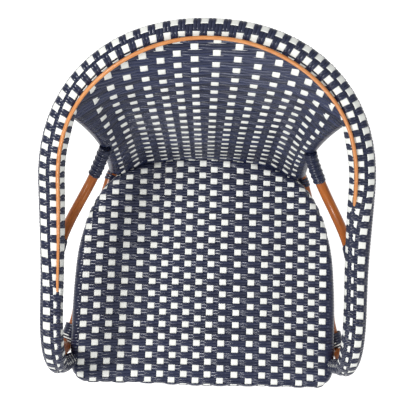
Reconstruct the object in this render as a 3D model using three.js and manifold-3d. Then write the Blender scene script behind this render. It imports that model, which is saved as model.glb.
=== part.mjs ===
// Rattan bistro armchair: bent poles, a woven seat, a woven back and a woven arm and back rail.
// Millimetres, +Z up, the sitter faces -Y. The plan is drawn from the centre of the rail's back arc.
import * as THREE from 'three';
import { mergeVertices } from 'three/addons/utils/BufferGeometryUtils.js';
import Module from 'manifold-3d';

const wasm = await Module();
wasm.setup();

const V = (x, y, z) => new THREE.Vector3(x, y, z);
const UP = V(0, 0, 1);

// Heights
const seatHeight = 455;
const armHeight = 650;
const backHeight = 832;

// Clearance between pieces that touch
const fitGap = 0.3;
const weldTolerance = fitGap / 1000;

// Pole sizes
const legRadius = 12.5;
const hoopRadius = 11;
const sideRailRadius = 9;
const railPoleRadius = 9;
const rodRadius = 3.6;
const supportRadius = 9;
const archRadius = 8;
const slatRadius = 8;
const lowerRailRadius = 7;

// Rail: plan, front curl and tail
const railHalfWidth = 256;
const railBackDepth = 250.5;
const railSquarenessShare = 0.909;
const railLevelLength = 560;
const railDropPowerShare = 1.6;
const armFrontReach = 301;
const armToeIn = 7;
const curlRadius = 105;
const tailFootShare = 0.354;
const tailFootReach = 9;

// Rail sleeve section
const sleeveHalfWidth = 22.5;
const sleeveHalfHeight = 14.5;
const sleeveArmHalfWidth = 18.5;
const tailRadius = 12;
const sleeveBoreRoom = 1.6;
const boreCrownShare = 0.25;
const sleeveTaperStart = 440;
const sleeveTaperLength = 130;
const rodAngleShare = 0.65;
const rodEndAngleShare = 0.94;

// Seat
const seatHalfWidth = 242;
const seatFrontReach = 350;
const seatBackReach = 72;
const weaveThickness = 3;
const seatWeaveThickness = 5;
const seatSag = 6;
const hoopButtGap = 0.6;

// Legs, posts and back
const frontLegReach = 288;
const postHalfWidth = 166;
const postReach = 47;
const rearFootSpread = 12;
const rearFootSweep = 80;
const kneeHeightShare = 0.5;
const kneeBendShare = 0.125;
const backTopAngleShare = 0.66;
const backWeaveThickness = 5;
const backBottomReach = 64;
const backBottomLift = 3;
const backFanPower = 2.5;
const lowerRailTuckShare = 0.3;

// Braces, ties and glides
const archFootHeight = 215;
const archSquareness = 2.6;
const archStagger = 6;
const slatReaches = [-235, -95];
const supportTopRise = 165;
const supportPostShare = 0.43;
const supportArmShare = 0.6;
const supportSweep = 50;
const supportDip = 70;
const supportLean = 6;
const supportFlare = 18;
const tieWidth = 3.8;
const tieThickness = 1.8;
const tieGap = 1.3;
const supportTieTurns = 7;
const armTieTurns = 4;
const armTieFromEnd = 42;
const rearTieTurns = 3;
const rearTieFromStart = 20;
const frontTieTurns = 4;
const whiteTieTurns = 2;
const frontTieFromEnd = 52;
const glideRadius = 16.5;
const glideHeight = 20;
const glideFloor = 5;
const screwRadius = 2;
const screwHeadRadius = 4.5;
const screwHeadHeight = 2.5;

// Facets
const poleSides = 8;
const rodSides = 6;
const sleeveSides = 12;
const rimSides = 12;
const screwSides = 8;
const glideSides = 12;
const tieSteps = 10;
const arcSteps = 10;
const armSteps = 5;
const curlSteps = 5;
const tailSteps = 3;
const legSteps = 6;
const postSteps = 16;
const stileSteps = 8;
const braceSteps = 14;
const sideRailSteps = 24;
const archSteps = 12;
const clearSteps = 100;
const backColumns = 12;
const backRows = 9;

// Sizes that follow from the ones above
const rimRadius = hoopRadius + fitGap + weaveThickness;
const hoopHeight = seatHeight - rimRadius;
const stileRadius = legRadius + fitGap + weaveThickness;
const frontLegHalfWidth = seatHalfWidth + fitGap + legRadius;
const tiePitch = tieWidth + tieGap;
const sideRailHeight = hoopHeight - rimRadius - fitGap - sideRailRadius;
const backBottomHeight = seatHeight + backBottomLift;

// Finishes
const finish = (color, roughness, metalness = 0) =>
  new THREE.MeshStandardMaterial({ color, roughness, metalness });
const rattan = finish('#a8621f', 0.38);
const paleRattan = finish('#e29c5a', 0.34);
const navyWeave = finish('#2b3254', 0.5);
const whiteWeave = finish('#eff1e9', 0.45);
const nylon = finish('#2a2623', 0.6);
const zincSteel = finish('#b9bcc0', 0.35, 0.9);

const chair = new THREE.Group();

function add(name, geometry, material) {
  const mesh = new THREE.Mesh(geometry, material);
  mesh.name = name;
  chair.add(mesh);
  return mesh;
}

// Solids for joining and cutting
function solid(geometry) {
  const bare = new THREE.BufferGeometry();
  bare.setAttribute('position', geometry.getAttribute('position').clone());
  if (geometry.index) bare.setIndex(geometry.index.clone());
  const merged = mergeVertices(bare, weldTolerance);
  return new wasm.Manifold(new wasm.Mesh({
    numProp: 3,
    vertProperties: new Float32Array(merged.getAttribute('position').array),
    triVerts: new Uint32Array(merged.index.array),
  }));
}

function geometryOf(body) {
  const mesh = body.getMesh();
  const geometry = new THREE.BufferGeometry();
  geometry.setAttribute('position', new THREE.BufferAttribute(mesh.vertProperties, 3));
  geometry.setIndex(new THREE.BufferAttribute(mesh.triVerts, 1));
  return geometry;
}

function cut(geometry, ...cutters) {
  return geometryOf(cutters.reduce((body, cutter) => body.subtract(solid(cutter)), solid(geometry)));
}

function join(...geometries) {
  return geometryOf(geometries.map(solid).reduce((body, next) => body.add(next)));
}

// Round pole along a path
function pole(path, radius, sides, steps) {
  const section = new THREE.Shape().absarc(0, 0, radius, 0, 2 * Math.PI);
  return new THREE.ExtrudeGeometry(section, {
    steps, curveSegments: sides / 2, extrudePath: path, bevelEnabled: false,
  });
}

const curve = (points) => new THREE.CatmullRomCurve3(points, false, 'centripetal');

// Radius whose flats, not its corners, reach the asked size, and a section grown by the gap on its flats
const flatsRadius = (radius, sides) => radius / Math.cos(Math.PI / sides);
const grown = (radius, sides) => radius + flatsRadius(fitGap, sides);

// Quads between rings of points, then a cap or an inner wall to close the body
function ringWalls(rings, first, flip, index) {
  const size = rings[0].length;
  for (let i = 0; i < rings.length - 1; i += 1) {
    for (let j = 0; j < size; j += 1) {
      const a = first + i * size + j;
      const b = first + i * size + ((j + 1) % size);
      const quad = [a, b, b + size, a, b + size, a + size];
      index.push(...(flip ? quad.reverse() : quad));
    }
  }
}

function ringBody(points, index) {
  const geometry = new THREE.BufferGeometry();
  const flat = points.flatMap((p) => [p.x, p.y, p.z]);
  geometry.setAttribute('position', new THREE.Float32BufferAttribute(flat, 3));
  geometry.setIndex(index);
  return geometry;
}

function loft(rings) {
  const size = rings[0].length;
  const points = rings.flat();
  const index = [];
  ringWalls(rings, 0, false, index);
  const last = points.length - size;
  for (let j = 1; j < size - 1; j += 1) {
    index.push(0, j + 1, j, last, last + j, last + j + 1);
  }
  return ringBody(points, index);
}

function hollowLoft(outer, inner) {
  const size = outer[0].length;
  const index = [];
  const points = [...outer.flat(), ...inner.flat()];
  const innerFirst = outer.length * size;
  ringWalls(outer, 0, false, index);
  ringWalls(inner, innerFirst, true, index);
  const outerLast = innerFirst - size;
  const innerLast = points.length - size;
  for (let j = 0; j < size; j += 1) {
    const k = (j + 1) % size;
    index.push(j, innerFirst + j, k, k, innerFirst + j, innerFirst + k);
    index.push(outerLast + j, outerLast + k, innerLast + j, innerLast + j, outerLast + k, innerLast + k);
  }
  return ringBody(points, index);
}

// Seat outline: the hoop's centre line from the back centre round the right side and back again
const hoopShares = [
  [0, 1], [0.44, 0.965], [0.66, 0.915], [0.785, 0.845], [0.88, 0.745], [0.955, 0.6], [0.985, 0.45],
  [1, 0.22], [0.995, 0.1], [0.94, 0.03], [0.8, 0.004], [0.45, 0], [0, -0.004],
];
const hoopHalfWidth = seatHalfWidth - rimRadius;
const hoopFront = rimRadius - seatFrontReach;
const hoopDepth = seatBackReach - rimRadius - hoopFront;

function hoopPoint([widthShare, depthShare], side) {
  return V(side * widthShare * hoopHalfWidth, hoopFront + depthShare * hoopDepth, hoopHeight);
}

const hoopLoop = new THREE.CatmullRomCurve3([
  ...hoopShares.map((share) => hoopPoint(share, 1)),
  ...hoopShares.slice(1, -1).reverse().map((share) => hoopPoint(share, -1)),
], true, 'centripetal');
const rimCount = 4 * (hoopShares.length - 1);
const rimPoints = hoopLoop.getPoints(rimCount).slice(0, -1);
const rimOuts = rimPoints.map((point, i) => {
  const along = rimPoints[(i + 1) % rimCount].clone().sub(rimPoints[(i + rimCount - 1) % rimCount]);
  const out = V(along.y, -along.x, 0).normalize();
  return out.dot(point) < 0 ? out.negate() : out;
});

// Rail centre line, one side: back arc, falling arm, front curl and tail down to the seat's corner
function railPlan(angle) {
  return [
    railHalfWidth * Math.sin(angle) ** railSquarenessShare,
    railBackDepth * Math.cos(angle) ** railSquarenessShare,
  ];
}

function railHeight(length) {
  const share = Math.min(length / railLevelLength, 1);
  return backHeight - (backHeight - armHeight) * Math.sin((Math.PI / 2) * share ** railDropPowerShare) ** 2;
}

const curlStart = curlRadius - armFrontReach;

function railSide() {
  const points = [];
  let length = 0;
  const place = (x, y) => {
    if (points.length > 0) {
      const before = points[points.length - 1];
      length += Math.hypot(x - before.x, y - before.y);
    }
    points.push(V(x, y, railHeight(length)));
  };
  for (let i = 0; i <= arcSteps; i += 1) {
    const [x, y] = railPlan((Math.PI / 2) * (i / arcSteps));
    place(x, i === arcSteps ? 0 : y);
  }
  for (let i = 1; i <= armSteps; i += 1) {
    const share = i / armSteps;
    place(railHalfWidth - armToeIn * share * share, curlStart * share);
  }
  const armEnd = railHalfWidth - armToeIn;
  for (let i = 1; i <= curlSteps; i += 1) {
    const turn = (Math.PI / 2) * (i / curlSteps);
    const fall = curlRadius * (1 - Math.cos(turn));
    points.push(V(armEnd, curlStart - curlRadius * Math.sin(turn), armHeight - fall));
  }
  const curlEnd = points[points.length - 1];
  const foot = Math.round(tailFootShare * rimCount);
  const tailEnd = rimPoints[foot].clone().addScaledVector(rimOuts[foot], tailFootReach);
  for (let i = 1; i <= tailSteps; i += 1) points.push(curlEnd.clone().lerp(tailEnd, i / tailSteps));
  points[points.length - tailSteps].setX(armEnd - armToeIn / tailSteps);
  return points;
}

const mirrorX = (point) => V(-point.x, point.y, point.z);
const rightRail = railSide();
const railLine = [...rightRail.slice(1).reverse(), ...rightRail.map(mirrorX)];

// Stations along the rail: point, way along, way out of the hoop, way up, length from the back centre
const railStations = railLine.map((point, i) => {
  const before = railLine[Math.max(i - 1, 0)];
  const after = railLine[Math.min(i + 1, railLine.length - 1)];
  const along = after.clone().sub(before).normalize();
  const side = Math.sign(point.x);
  const arc = point.y > 0;
  const out = arc ? V(along.y, -along.x, 0).normalize() : V(side, 0, 0);
  if (arc && out.dot(V(point.x, point.y, 0)) < 0) out.negate();
  out.addScaledVector(along, -out.dot(along)).normalize();
  const up = out.clone().cross(along).normalize();
  if (up.dot(arc || point.z > armHeight - curlRadius / 2 ? UP : V(0, -1, 0)) < 0) up.negate();
  return { point, along, out, up };
});
const backIndex = (railStations.length - 1) / 2;
railStations.forEach((station, i) => {
  const [from, to] = i < backIndex ? [i, backIndex] : [backIndex, i];
  station.length = 0;
  for (let k = from; k < to; k += 1) station.length += railLine[k].distanceTo(railLine[k + 1]);
});
const tailStart = railStations[tailSteps].length;
const railEnd = railStations[0].length;

const smooth = (share) => {
  const t = Math.min(Math.max(share, 0), 1);
  return t * t * (3 - 2 * t);
};

function sleeveSize(length) {
  const narrow = smooth((length - sleeveTaperStart) / sleeveTaperLength);
  const tail = smooth((length - (tailStart - curlRadius)) / (railEnd - tailStart + curlRadius));
  const width = THREE.MathUtils.lerp(sleeveHalfWidth, sleeveArmHalfWidth, narrow);
  return {
    width: THREE.MathUtils.lerp(width, tailRadius, tail),
    height: THREE.MathUtils.lerp(sleeveHalfHeight, tailRadius, tail),
    poleShift: (sleeveHalfWidth - railPoleRadius - sleeveBoreRoom - weaveThickness / 2) * (1 - narrow),
  };
}

function ellipseRing(station, halfWidth, halfHeight, sides, shift = 0) {
  const ring = [];
  for (let j = 0; j < sides; j += 1) {
    const turn = (2 * Math.PI * j) / sides;
    ring.push(station.point.clone()
      .addScaledVector(station.out, shift + halfWidth * Math.cos(turn))
      .addScaledVector(station.up, halfHeight * Math.sin(turn)));
  }
  return station.out.clone().cross(station.up).dot(station.along) > 0 ? ring : ring.reverse();
}

function sleeveEnvelope() {
  return loft(railStations.map((station) => {
    const { width, height } = sleeveSize(station.length);
    return ellipseRing(station, grown(width, sleeveSides), grown(height, sleeveSides), sleeveSides);
  }));
}

// Half the hoop's width at a place along Y
function hoopHalfAt(y) {
  const nearer = (a, b) => (Math.abs(a.y - y) < Math.abs(b.y - y) ? a : b);
  return hoopLoop.getSpacedPoints(rimCount * 10).filter((point) => point.x > 0).reduce(nearer).x;
}

// Ring of the seat's shell: a turn of 0 is the outer side of the rim and a quarter turn is its top
function rimRing(radius, turn) {
  return rimPoints.map((point, i) => point.clone()
    .addScaledVector(rimOuts[i], radius * Math.cos(turn))
    .addScaledVector(UP, radius * Math.sin(turn)));
}

function topRing(share, height) {
  const middle = V(0, seatMiddle, 0);
  return rimPoints.map((point) => point.clone().lerp(middle, share).setZ(height));
}

const rimTurns = [-2, -1, 0, 1, 2, 3].map((place) => (2 * Math.PI * place) / rimSides);
const seatDishShares = [[0.3, 0.5], [0.65, 0.9]];
const seatMiddle = hoopFront + hoopDepth / 2;

// How far the seat hangs below its rim on the centre line at a place along Y
function sagAt(y) {
  const inward = 1 - Math.abs(y - seatMiddle) / (hoopDepth / 2);
  const marks = [[0, 0], ...seatDishShares, [1, 1]];
  const after = marks.findIndex(([share]) => share >= inward);
  const [[low, lowSag], [high, highSag]] = [marks[after - 1], marks[after]];
  return seatSag * THREE.MathUtils.mapLinear(inward, low, high, lowSag, highSag);
}

function seatShell() {
  const under = seatHeight - seatWeaveThickness;
  const outer = [
    ...rimTurns.map((turn) => rimRing(rimRadius, turn)),
    ...seatDishShares.map(([share, sag]) => topRing(share, seatHeight - seatSag * sag)),
  ];
  const inner = [
    ...rimTurns.map((turn) => rimRing(flatsRadius(rimRadius - weaveThickness, rimSides), turn)),
    ...seatDishShares.map(([share, sag]) => topRing(share, under - seatSag * sag)),
  ];
  const centre = V(0, seatMiddle, seatHeight - seatSag);
  const points = [...outer.flat(), ...inner.flat(), centre, centre.clone().setZ(under - seatSag)];
  const index = [];
  const innerFirst = outer.length * rimCount;
  const topCentre = points.length - 2;
  ringWalls(outer, 0, true, index);
  ringWalls(inner, innerFirst, false, index);
  for (let j = 0; j < rimCount; j += 1) {
    const k = (j + 1) % rimCount;
    index.push(j, k, innerFirst + j, k, innerFirst + k, innerFirst + j);
    index.push(innerFirst - rimCount + k, innerFirst - rimCount + j, topCentre);
    index.push(topCentre - rimCount + j, topCentre - rimCount + k, topCentre + 1);
  }
  return ringBody(points, index);
}

// Round body along the hoop's line, its two ends a butt gap apart at the back centre
function hoopBody(radius, sides, buttGap) {
  const rings = [];
  for (let i = 0; i <= rimCount; i += 1) {
    const k = i % rimCount;
    const shift = i === 0 ? buttGap / 2 : i === rimCount ? -buttGap / 2 : 0;
    const ring = [];
    for (let j = 0; j < sides; j += 1) {
      const turn = (2 * Math.PI * j) / sides;
      ring.push(rimPoints[k].clone()
        .addScaledVector(rimOuts[k], radius * Math.cos(turn))
        .addScaledVector(UP, radius * Math.sin(turn))
        .add(V(shift, 0, 0)));
    }
    rings.push(ring);
  }
  return loft(rings);
}

// Back: a sheet of rows from post to post. Its sides are the posts' centre lines
const backAngle = backTopAngleShare * (Math.PI / 2);

function railAt(angle) {
  const [x, y] = railPlan(Math.abs(angle));
  const near = railStations.reduce((best, s) => {
    const far = Math.hypot(s.point.x - Math.sign(angle) * x, s.point.y - y);
    return far < best.far ? { far, s } : best;
  }, { far: Infinity, s: railStations[0] });
  return V(Math.sign(angle) * x, y, near.s.point.z);
}

const flareShares = [0.249, 0.582, 0.169];

function backPoint(u, v) {
  const top = railAt(u * backAngle);
  const low = V(u * postHalfWidth, THREE.MathUtils.lerp(backBottomReach, postReach, u * u), hoopHeight);
  const [a, b, c] = flareShares;
  const flare = a * v + b * v * v + c * v ** 4;
  const reach = (1 - u * u) * flare + u * u * v;
  return V(
    low.x + (top.x - low.x) * v ** backFanPower,
    low.y + (top.y - low.y) * reach,
    low.z + (top.z - low.z) * v,
  );
}

function backSheet(thickness) {
  const front = [];
  const rear = [];
  const lowShare = (backBottomHeight - hoopHeight) / (backHeight - hoopHeight);
  for (let i = 0; i <= backRows; i += 1) {
    for (let j = 0; j <= backColumns; j += 1) {
      const u = (2 * j) / backColumns - 1;
      const v = lowShare + (1 - lowShare) * (i / backRows);
      const step = 1 / backColumns;
      const across = backPoint(Math.min(u + step, 1), v).sub(backPoint(Math.max(u - step, -1), v));
      const upward = backPoint(u, Math.min(v + step, 1)).sub(backPoint(u, Math.max(v - step, 0)));
      const normal = across.cross(upward).normalize();
      const middle = backPoint(u, v);
      front.push(middle.clone().addScaledVector(normal, thickness / 2));
      rear.push(middle.clone().addScaledVector(normal, -thickness / 2));
    }
  }
  const points = [...front, ...rear];
  const index = [];
  const row = backColumns + 1;
  const rearFirst = front.length;
  for (let i = 0; i < backRows; i += 1) {
    for (let j = 0; j < backColumns; j += 1) {
      const a = i * row + j;
      index.push(a, a + 1, a + row + 1, a, a + row + 1, a + row);
      const b = rearFirst + a;
      index.push(b, b + row + 1, b + 1, b, b + row, b + row + 1);
    }
    const left = i * row;
    const right = left + backColumns;
    const [rearLeft, rearRight] = [rearFirst + left, rearFirst + right];
    index.push(left, left + row, rearLeft + row, left, rearLeft + row, rearLeft);
    index.push(right, rearRight + row, right + row, right, rearRight, rearRight + row);
  }
  for (let j = 0; j < backColumns; j += 1) {
    const top = backRows * row + j;
    index.push(j, rearFirst + j + 1, j + 1, j, rearFirst + j, rearFirst + j + 1);
    index.push(top, top + 1, rearFirst + top + 1, top, rearFirst + top + 1, rearFirst + top);
  }
  return ringBody(points, index);
}

// Rear posts: foot, knee at the seat, then the back's side line up into the rail
const stileLine = (side, from = 0) => {
  const points = [];
  for (let i = 0; i <= stileSteps; i += 1) {
    points.push(backPoint(side, THREE.MathUtils.lerp(from, 1, i / stileSteps)));
  }
  return points;
};

function postPath(side) {
  const seat = backPoint(side, 0);
  const foot = V(side * (postHalfWidth + rearFootSpread), postReach + rearFootSweep, glideFloor + fitGap);
  const knee = seat.clone().lerp(foot, kneeHeightShare).add(V(0, -rearFootSweep * kneeBendShare, 0));
  return curve([foot, knee, ...stileLine(side)]);
}

function stileEnvelope(side, radius) {
  const lowShare = (backBottomHeight - hoopHeight) / (backHeight - hoopHeight);
  return pole(curve(stileLine(side, lowShare)), radius, poleSides, stileSteps);
}

const sideName = (side) => (side < 0 ? 'left' : 'right');

// Screw along a way, its head's underside at the given point
function screw(at, way, length, gap) {
  const [head, shank] = [screwHeadRadius + gap, screwRadius + gap];
  const [top, tip] = [-screwHeadHeight - gap, length + gap];
  const profile = [[0, top], [head, top], [head, gap], [shank, gap], [shank, tip], [0, tip]]
    .map(([x, y]) => new THREE.Vector2(x, y));
  const geometry = new THREE.LatheGeometry(profile, screwSides);
  geometry.applyQuaternion(new THREE.Quaternion().setFromUnitVectors(V(0, 1, 0), way));
  geometry.translate(at.x, at.y, at.z);
  return geometry;
}

// Winding: one flat strand wound round a path, its turns side by side
function winding(name, path, from, turns, coreRadius, material) {
  const length = path.getLength();
  const radius = flatsRadius(coreRadius + fitGap, tieSteps) + tieThickness / 2;
  const rings = [];
  const startAxis = path.getTangentAt(from / length);
  const across = startAxis.clone().cross(Math.abs(startAxis.z) > 0.9 ? V(1, 0, 0) : UP).normalize();
  for (let i = 0; i <= turns * tieSteps; i += 1) {
    const at = (from + (tiePitch * i) / tieSteps) / length;
    const centre = path.getPointAt(at);
    const axis = path.getTangentAt(at);
    const first = across.clone().addScaledVector(axis, -across.dot(axis)).normalize();
    const second = axis.clone().cross(first);
    const turn = (2 * Math.PI * i) / tieSteps;
    const outward = first.multiplyScalar(Math.cos(turn)).addScaledVector(second, Math.sin(turn));
    const corner = (r, w) => centre.clone().addScaledVector(outward, radius + r).addScaledVector(axis, w);
    const half = [tieThickness / 2, tieWidth / 2];
    const corners = [[-1, -1], [-1, 1], [1, 1], [1, -1]];
    rings.push(corners.map(([r, w]) => corner(r * half[0], w * half[1])));
  }
  let least = Infinity;
  for (let i = 0; i + tieSteps / 2 < rings.length; i += 1) {
    for (let k = i + tieSteps / 2; k < rings.length; k += 1) {
      for (const a of rings[i]) for (const b of rings[k]) least = Math.min(least, a.distanceTo(b));
    }
  }
  console.log(`${name}: least gap between turns ${least.toFixed(2)} mm`);
  add(name, loft(rings), material);
}

// Arm and back rail: woven sleeve over a main pole and an inner pole, with a slim rod on its shoulder
const sleeveCutter = sleeveEnvelope();
const sleeveOuter = railStations.map((station) => {
  const { width, height } = sleeveSize(station.length);
  return ellipseRing(station, width, height, sleeveSides);
});
const sleeveBore = railStations.map((station) => {
  const { poleShift } = sleeveSize(station.length);
  const bore = flatsRadius(railPoleRadius + sleeveBoreRoom / 2, sleeveSides);
  return ellipseRing(station, bore + poleShift, bore + poleShift * boreCrownShare, sleeveSides);
});

function sleevePole(stations, side) {
  return loft(stations.map((station) => {
    const shift = side * sleeveSize(station.length).poleShift;
    return ellipseRing(station, railPoleRadius, railPoleRadius, poleSides, shift);
  }));
}

add('rail_main_pole', sleevePole(railStations.slice(1, -1), 1), rattan);
const innerStations = railStations.filter(({ length }) => length < sleeveTaperStart);
add('rail_inner_pole', sleevePole(innerStations, -1), rattan);

const rodStations = railStations.slice(tailSteps, -tailSteps);
const rodRings = (radius) => rodStations.map((station) => {
  const { width, height } = sleeveSize(station.length);
  const late = smooth((station.length - sleeveTaperStart) / (tailStart - sleeveTaperStart));
  const turn = Math.PI * THREE.MathUtils.lerp(rodAngleShare, rodEndAngleShare, late);
  const normal = new THREE.Vector2(Math.cos(turn) / width, Math.sin(turn) / height).normalize();
  const stand = rodRadius + 2 * fitGap;
  const centre = station.point.clone()
    .addScaledVector(station.out, width * Math.cos(turn) + stand * normal.x)
    .addScaledVector(station.up, height * Math.sin(turn) + stand * normal.y);
  return ellipseRing({ ...station, point: centre }, radius, radius, rodSides);
});
add('rail_rod', loft(rodRings(rodRadius)), paleRattan);

// Seat: bent hoop, cross slats and the woven panel rolled over the hoop
const hoop = hoopBody(hoopRadius, poleSides, hoopButtGap);
const hoopCutter = hoopBody(grown(hoopRadius, poleSides), poleSides, fitGap);
const rimCutter = hoopBody(grown(rimRadius, rimSides), rimSides, fitGap);

const seatScrews = [];
for (const side of [-1, 1]) {
  const legSpot = V(side * (frontLegHalfWidth + legRadius), -frontLegReach, hoopHeight);
  const post = backPoint(side, 0);
  const hoopNear = rimPoints.reduce((best, p) => (p.distanceTo(post) < best.distanceTo(post) ? p : best));
  const postWay = hoopNear.clone().sub(post).normalize();
  const postSpot = post.clone().addScaledVector(postWay, -legRadius);
  seatScrews.push({ name: `leg_screw_${sideName(side)}`, at: legSpot, way: V(-side, 0, 0) });
  seatScrews.push({ name: `post_screw_${sideName(side)}`, at: postSpot, way: postWay });
}
const screwLength = legRadius * 2 + rimRadius + hoopRadius / 2;
const screwCutters = seatScrews.map(({ at, way }) => screw(at, way, screwLength, fitGap));
for (const { name, at, way } of seatScrews) add(name, screw(at, way, screwLength, 0), zincSteel);

const posts = [-1, 1].map((side) => pole(postPath(side), legRadius, poleSides, postSteps));
const legCutRadius = grown(legRadius, poleSides);
const postCutters = [-1, 1].map((side) => pole(postPath(side), legCutRadius, poleSides, postSteps));
add('rail_sleeve', cut(hollowLoft(sleeveOuter, sleeveBore), rimCutter), navyWeave);
add('seat_hoop', cut(hoop, ...screwCutters), rattan);
add('woven_seat', cut(seatShell(), ...postCutters, ...screwCutters), navyWeave);

for (const [i, reach] of slatReaches.entries()) {
  const height = seatHeight - sagAt(reach) - seatWeaveThickness - fitGap - slatRadius;
  const half = hoopHalfAt(reach) - hoopRadius / 2;
  const span = new THREE.LineCurve3(V(-half, reach, height), V(half, reach, height));
  add(`seat_slat_${i + 1}`, cut(pole(span, slatRadius, poleSides, 1), hoopCutter, rimCutter), rattan);
}

// Legs and posts, coped to the rail and notched for the hoop
const frontLegPath = (side) => curve([
  V(side * frontLegHalfWidth, -frontLegReach, glideFloor + fitGap),
  V(side * frontLegHalfWidth, -frontLegReach, seatHeight),
  V(side * (railHalfWidth - armToeIn), -frontLegReach, armHeight - curlRadius / 2),
]);
const frontLegs = [-1, 1].map((side) => pole(frontLegPath(side), legRadius, poleSides, legSteps));
const frontLegCutters = [-1, 1].map((side) => pole(frontLegPath(side), legCutRadius, poleSides, legSteps));
[-1, 1].forEach((side, i) => {
  add(`front_leg_${sideName(side)}`, cut(frontLegs[i], sleeveCutter, ...screwCutters), rattan);
  add(`back_post_${sideName(side)}`, cut(posts[i], sleeveCutter, hoopCutter, ...screwCutters), rattan);
});

// Woven back with its rolled sides, and the rail behind its foot
const stileSleeves = [-1, 1].map((side) => stileEnvelope(side, stileRadius));
const stileCutters = [-1, 1].map((side) => stileEnvelope(side, grown(stileRadius, poleSides)));
const rodCutter = loft(rodRings(grown(rodRadius, rodSides)));
const backCutters = [...postCutters, sleeveCutter, rodCutter, rimCutter];
add('woven_back', cut(join(backSheet(backWeaveThickness), ...stileSleeves), ...backCutters), navyWeave);

const sheetCutter = backSheet(backWeaveThickness + 2 * fitGap);
const lowerRailDrop = backBottomHeight + lowerRailRadius + backBottomLift;
const lowerRailLine = [];
for (let u = -1; u <= 1; u += 2 / stileSteps) {
  const v = (lowerRailDrop - hoopHeight) / (backHeight - hoopHeight);
  const behind = backWeaveThickness / 2 + fitGap + lowerRailRadius;
  lowerRailLine.push(backPoint(u, v).add(V(0, behind * (1 - lowerRailTuckShare * u * u), 0)));
}
const lowerRail = pole(curve(lowerRailLine), lowerRailRadius, poleSides, braceSteps);
add('back_lower_rail', cut(lowerRail, ...stileCutters, sheetCutter, rimCutter), rattan);

// Length along a path from which it stays clear of another path's centre line
function clearLength(path, other, clearance) {
  const marks = other.getPoints(postSteps * 4);
  const length = path.getLength();
  let clear = 0;
  for (let i = 0; i <= clearSteps; i += 1) {
    const point = path.getPointAt(i / clearSteps);
    if (marks.some((mark) => mark.distanceTo(point) < clearance)) clear = (length * (i + 1)) / clearSteps;
  }
  return clear;
}

// Arm supports: from beside the post, down and forward, then up under the arm
for (const side of [-1, 1]) {
  const post = backPoint(side, supportPostShare);
  const armSpot = railStations[backIndex - side * (arcSteps + Math.round(armSteps * supportArmShare))];
  const topHeight = seatHeight + supportTopRise;
  const top = V(side * (Math.abs(post.x) + stileRadius), post.y - legRadius / 2, topHeight);
  const under = armSpot.point.clone().add(V(-side * supportRadius, 0, -sleeveHalfHeight / 2));
  const support = new THREE.CubicBezierCurve3(
    top,
    top.clone().add(V(side * supportFlare, -supportSweep, -supportDip)),
    under.clone().add(V(-side * supportLean, supportSweep, -supportDip)),
    under,
  );
  const name = sideName(side);
  const body = pole(support, supportRadius, poleSides, postSteps);
  add(`arm_support_${name}`, cut(body, ...stileCutters, sleeveCutter), rattan);
  const tieRoom = stileRadius + supportRadius + 2 * tieThickness;
  const tieFrom = clearLength(support, curve(stileLine(side)), tieRoom);
  const armTieFrom = support.getLength() - armTieFromEnd;
  winding(`support_tie_${name}`, support, tieFrom, supportTieTurns, supportRadius, navyWeave);
  winding(`arm_tie_${name}`, support, armTieFrom, armTieTurns, supportRadius, navyWeave);
}

// Bare side rails outside the seat's edge, from post to front leg. Shares run from the post to the leg
const sideRailShares = [
  [0.045, 0.012], [0.135, 0.05], [0.28, 0.18], [0.53, 0.36],
  [0.66, 0.56], [0.75, 0.75], [0.9, 0.88], [1, 1],
];
for (const side of [-1, 1]) {
  const rail = curve(sideRailShares.map(([widthShare, depthShare]) => V(
    side * THREE.MathUtils.lerp(postHalfWidth, frontLegHalfWidth, widthShare),
    THREE.MathUtils.lerp(postReach, -frontLegReach, depthShare),
    sideRailHeight,
  )));
  const name = sideName(side);
  const body = pole(rail, sideRailRadius, poleSides, sideRailSteps);
  add(`side_rail_${name}`, cut(body, ...postCutters, ...frontLegCutters), rattan);
  const frontTieFrom = rail.getLength() - frontTieFromEnd;
  const whiteTieFrom = frontTieFrom + (frontTieTurns + 1) * tiePitch;
  winding(`rear_tie_${name}`, rail, rearTieFromStart, rearTieTurns, sideRailRadius, navyWeave);
  winding(`front_tie_${name}`, rail, frontTieFrom, frontTieTurns, sideRailRadius, navyWeave);
  winding(`front_tie_white_${name}`, rail, whiteTieFrom, whiteTieTurns, sideRailRadius, whiteWeave);
}

// Arches under the seat, their feet on the faces of the legs
function arch(fromAxis, toAxis, crown) {
  const foot = fromAxis.z;
  const inset = toAxis.clone().sub(fromAxis).setLength(legRadius);
  const from = fromAxis.clone().add(inset);
  const to = toAxis.clone().sub(inset);
  const points = [];
  for (let i = 0; i <= archSteps; i += 1) {
    const share = i / archSteps;
    const rise = (1 - Math.abs(2 * share - 1) ** archSquareness) ** (1 / archSquareness);
    points.push(from.clone().lerp(to, share).setZ(foot + (crown - foot) * rise));
  }
  return curve(points);
}

function postAt(side, height) {
  const nearer = (a, b) => (Math.abs(a.z - height) < Math.abs(b.z - height) ? a : b);
  return postPath(side).getPoints(postSteps * 20).reduce(nearer).clone().setZ(height);
}

const legAt = (side, height) => V(side * frontLegHalfWidth, -frontLegReach, height);
const sideFootHeight = archFootHeight - 2 * archRadius - archStagger;
const underRim = hoopHeight - rimRadius - fitGap - archRadius;
const underSideRail = sideRailHeight - sideRailRadius - fitGap - archRadius;
const legCutters = [...frontLegCutters, ...postCutters];
const archPole = (path) => cut(pole(path, archRadius, poleSides, braceSteps), ...legCutters);
add('arch_front', archPole(arch(legAt(-1, archFootHeight), legAt(1, archFootHeight), underRim)), rattan);
add('arch_rear', archPole(arch(postAt(-1, archFootHeight), postAt(1, archFootHeight), underRim)), rattan);
for (const side of [-1, 1]) {
  const line = arch(legAt(side, sideFootHeight), postAt(side, sideFootHeight), underSideRail);
  add(`arch_${sideName(side)}`, archPole(line), rattan);
}

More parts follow.
